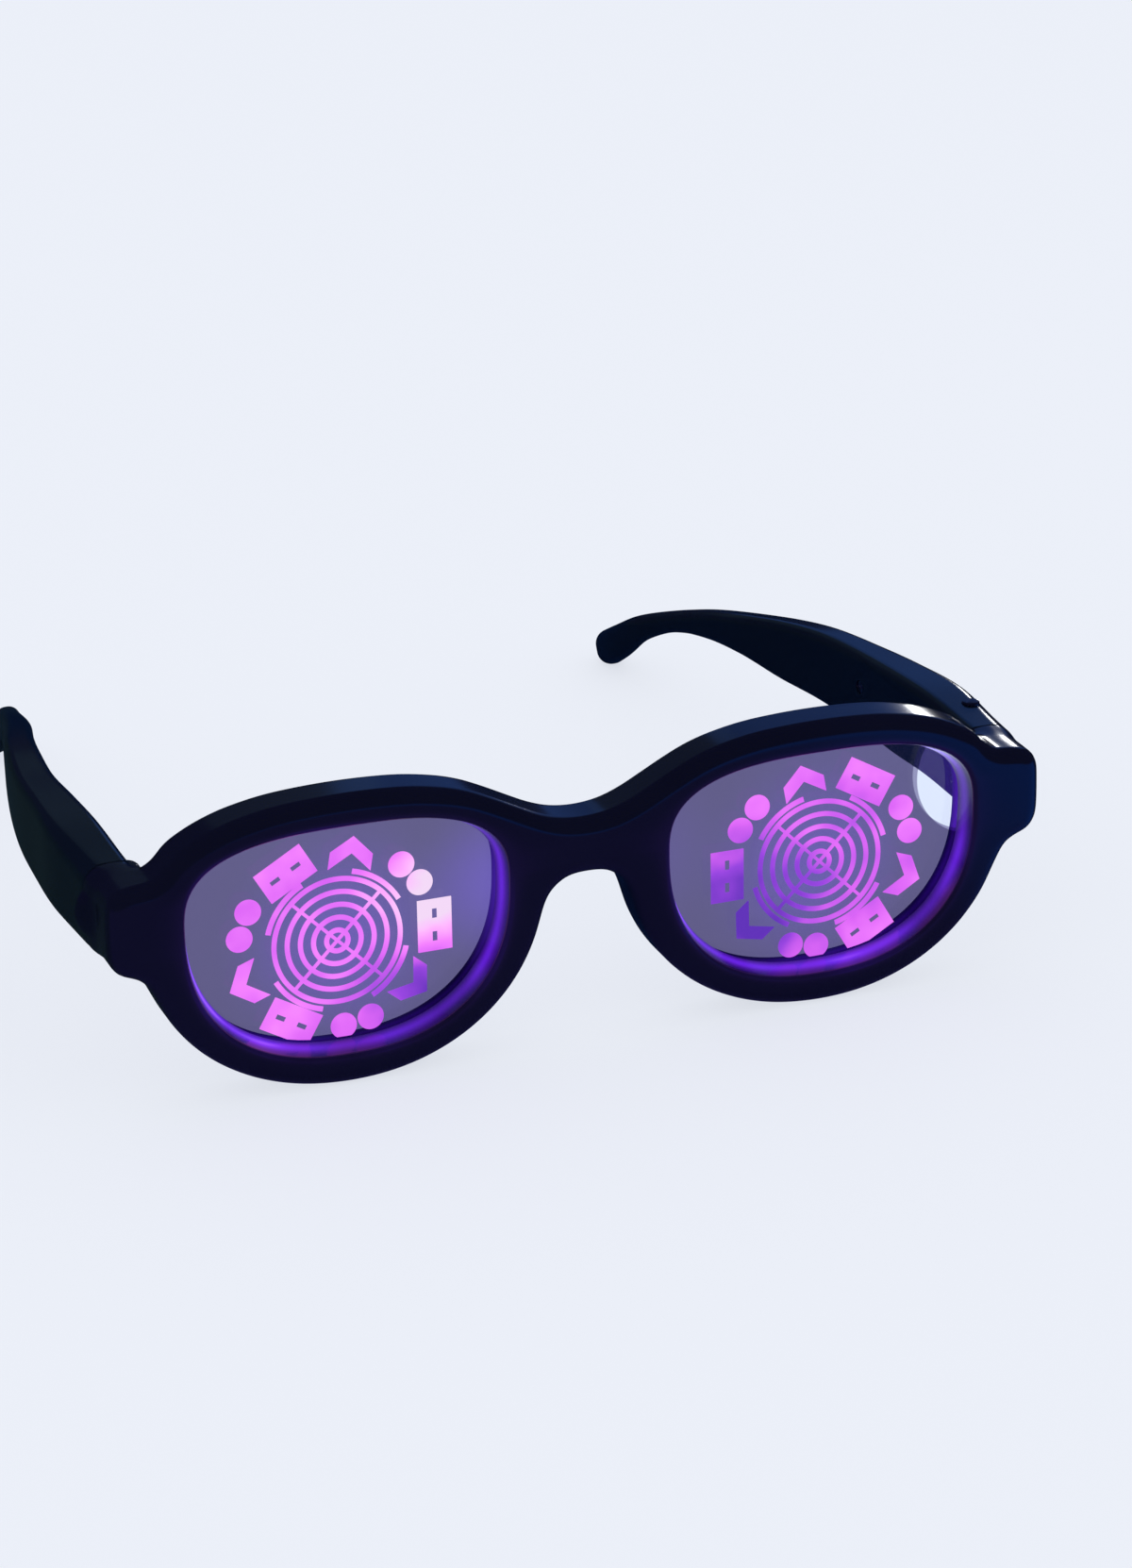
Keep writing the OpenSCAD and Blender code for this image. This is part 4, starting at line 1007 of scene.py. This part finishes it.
# CAD nodes that smoothly shaded copies replace: material, body and slot
SMOOTH = {
    "rear_cover_screws": (zinc_steel, "front", "steel"),
    "left_hinge_pin": (zinc_steel, "front", "steel"),
    "right_hinge_pin": (zinc_steel, "front", "steel"),
    "left_temple_cover": (temple_plastic, "left_arm", "temple"),
    "left_cover_screws": (zinc_steel, "left_arm", "steel"),
    "battery_door": (temple_plastic, "door", "temple"),
    "battery_door_screw": (zinc_steel, "door", "steel"),
    "button_cells": (nickel, "left_arm", "cell"),
    "positive_lead": (pvc, "left_arm", "lead"),
    "switch_plunger": (black_epoxy, "button", "chip"),
    "power_button": (shell_plastic, "button", "button"),
    "right_temple_cover": (temple_plastic, "right_arm", "temple"),
    "right_cover_screws": (zinc_steel, "right_arm", "steel"),
}
for node, (material, body, slot) in SMOOTH.items():
    dress(smooth_copy(node), material, body, slot, node)

# CAD nodes that stay as they are, each with its material
PLAIN = {
    "left_lens": lens_acrylic,
    "right_lens": lens_acrylic,
    "left_lens_marks": glow_print,
    "right_lens_marks": glow_print,
    "left_led_board": white_mask,
    "right_led_board": white_mask,
    "left_leds": led_epoxy,
    "right_leds": led_epoxy,
    "led_resistors": black_epoxy,
    "bridge_lead": pvc,
    "brow_lead": pvc,
    "outer_cell_strap": brass,
    "inner_cell_strap": brass,
    "positive_contact": brass,
    "negative_contact": brass,
    "control_board": green_mask,
    "control_chip": black_epoxy,
    "control_resistor": black_epoxy,
    "switch_body": nylon,
}
for node, material in PLAIN.items():
    for socket in nodes[node].material_slots:
        socket.material = material

# Floor and studio, in metres

scene = bpy.context.scene
scene.view_settings.view_transform = "Standard"


def fade(tree, along, low, high, a, b):
    """From colour a to colour b as a coordinate goes from low to high, each colour a value or a link."""
    span = {"Value": along, "From Min": low, "From Max": high}
    share = add(tree, "ShaderNodeMapRange", span).outputs["Result"]
    return add(tree, "ShaderNodeMix", {"Factor": share, 6: a, 7: b}, data_type="RGBA").outputs[2]


def mirrored_apart(tree, usual, mirrored_one, output):
    """Sends mirrored rays to one shader and all others to another. A ray counts as mirrored where it is
    glossy and hasn't passed through a lens."""
    path = add(tree, "ShaderNodeLightPath").outputs
    kinds = {0: path["Is Glossy Ray"], 1: path["Is Transmission Ray"]}
    glossy = add(tree, "ShaderNodeMath", kinds, operation="SUBTRACT", use_clamp=True).outputs[0]
    both = add(tree, "ShaderNodeMixShader", {0: glossy, 1: usual, 2: mirrored_one})
    tree.links.new(both.outputs[0], tree.nodes[output].inputs["Surface"])


# Matt paper, lit evenly where it is seen directly or through the lenses, with the shadow kept. Polished
# surfaces see a painted reflection on it instead, dark: violet-blue in front, bluer far to the right, and
# near-black behind
FLOOR_REACH = 6
EVEN_SHARE = 0.8
PAPER_COLOUR = linear("#ecf0f9")
floor_mesh = bpy.data.meshes.new("floor")
corners = [(-1, -1), (1, -1), (1, 1), (-1, 1)]
floor_mesh.from_pydata([(x * FLOOR_REACH, y * FLOOR_REACH, 0) for x, y in corners], [], [(0, 1, 2, 3)])
floor = put("floor", floor_mesh)
paper, tree, shader = finish("matt_paper", Base_Color=PAPER_COLOUR, Roughness=0.9, IOR=1.3)
where = add(tree, "ShaderNodeTexCoord").outputs["Object"]
xyz = add(tree, "ShaderNodeSeparateXYZ", {"Vector": where}).outputs
in_front = fade(tree, xyz["X"], 0.07, 0.11, linear("#3c3579"), linear("#1961da"))
behind = fade(tree, xyz["X"], -0.08, -0.02, linear("#1d2b30"), linear("#0a1938"))
reflected_colour = fade(tree, xyz["Y"], -0.08, -0.05, in_front, behind)
# Painted reflection: a glow on the floor that only polished surfaces see
painted_reflection = add(tree, "ShaderNodeEmission", {"Color": reflected_colour})
even_light = add(tree, "ShaderNodeEmission", {"Color": PAPER_COLOUR})
path = add(tree, "ShaderNodeLightPath").outputs
straight = {0: path["Is Camera Ray"], 1: path["Is Transmission Ray"]}
direct = add(tree, "ShaderNodeMath", straight, operation="MAXIMUM").outputs[0]
share = add(tree, "ShaderNodeMath", {0: direct, 1: EVEN_SHARE}, operation="MULTIPLY").outputs[0]
shaders = {0: share, 1: shader.outputs["BSDF"], 2: even_light.outputs[0]}
seen = add(tree, "ShaderNodeMixShader", shaders)
mirrored_apart(tree, seen.outputs[0], painted_reflection.outputs[0], "Material Output")
floor_mesh.materials.append(paper)

# White studio, and near-black where polished surfaces mirror it
world = bpy.data.worlds.new("studio")
scene.world = world
world.use_nodes = True
tree = world.node_tree
pale = tree.nodes["Background"]
pale.inputs["Color"].default_value = linear("#ffffff")
pale.inputs["Strength"].default_value = 1.0
dim = add(tree, "ShaderNodeBackground", {"Color": linear("#1f223c"), "Strength": 1.0})
mirrored_apart(tree, pale.outputs[0], dim.outputs[0], "World Output")

# Lights, in metres and watts


def look(back):
    """Turn that points local +Z along back, with local +X level."""
    z = np.array(back, float) / np.linalg.norm(back)
    x = np.cross((0, 0, 1), z)
    x /= np.linalg.norm(x)
    y = np.cross(z, x)
    return Matrix(np.c_[x, y, z].tolist()).to_4x4()


def softbox(name, at, towards, size, colour, watts):
    """A rectangular light that only shiny surfaces see."""
    light = bpy.data.lights.new(name, "AREA")
    light.shape = "RECTANGLE"
    light.size, light.size_y = size
    light.color = linear(colour)[:3]
    light.energy = watts
    made = put(name, light)
    made.matrix_world = Matrix.Translation(at) @ look(np.array(at, float) - np.array(towards, float))
    made.visible_diffuse = made.visible_camera = made.visible_transmission = False


# Each light: where it stands, what it points at, its width and height, colour and power
LIGHTS = {
    "back_left": ((0.02, 0.36, 0.19), (-0.07, 0, 0.03), (0.2, 0.2), "#bcf3ff", 0.006),
    "back_right": ((0.25, 0.33, 0.18), (0.07, 0, 0.03), (0.32, 0.22), "#5993ff", 0.075),
    "shoulder": ((0.274, 0.274, 0.085), (0.06, -0.07, 0.045), (0.02, 0.03), "#ffffff", 0.06),
}
for name, light in LIGHTS.items():
    softbox(name, *light)

# Camera from the fit to the photograph: angles in radians, the focal length in the photograph's pixels,
# and the rest in design millimetres
TURN, RISE, ROLL = -0.35624787, 0.38123236, -0.01702883
FOCAL_PX, PHOTO_HEIGHT_PX = 5178.307, 1662
DISTANCE = 739.8928
SHIFT_X, SHIFT_Z = 3.93, -21.49
FIT_LIFT = 19.4
SENSOR = 36
back = np.array([math.sin(TURN) * math.cos(RISE), -math.cos(TURN) * math.cos(RISE), math.sin(RISE)])
level = np.array([math.cos(TURN), math.sin(TURN), 0])
upright = np.cross(back, level)
across = math.cos(ROLL) * level + math.sin(ROLL) * upright
upward = math.cos(ROLL) * upright - math.sin(ROLL) * level
stand = -SHIFT_X * across - SHIFT_Z * upward + DISTANCE * back + [0, 0, FIT_LIFT]
lens = bpy.data.cameras.new("camera")
lens.sensor_width = SENSOR
lens.lens = FOCAL_PX * SENSOR / PHOTO_HEIGHT_PX
lens.clip_start = 0.01
lens.clip_end = 20
camera = put("camera", lens)
turned = leaned([across, upward, back]).T
camera.matrix_world = Matrix.Translation(place(stand)) @ Matrix(turned.tolist()).to_4x4()
scene.camera = camera
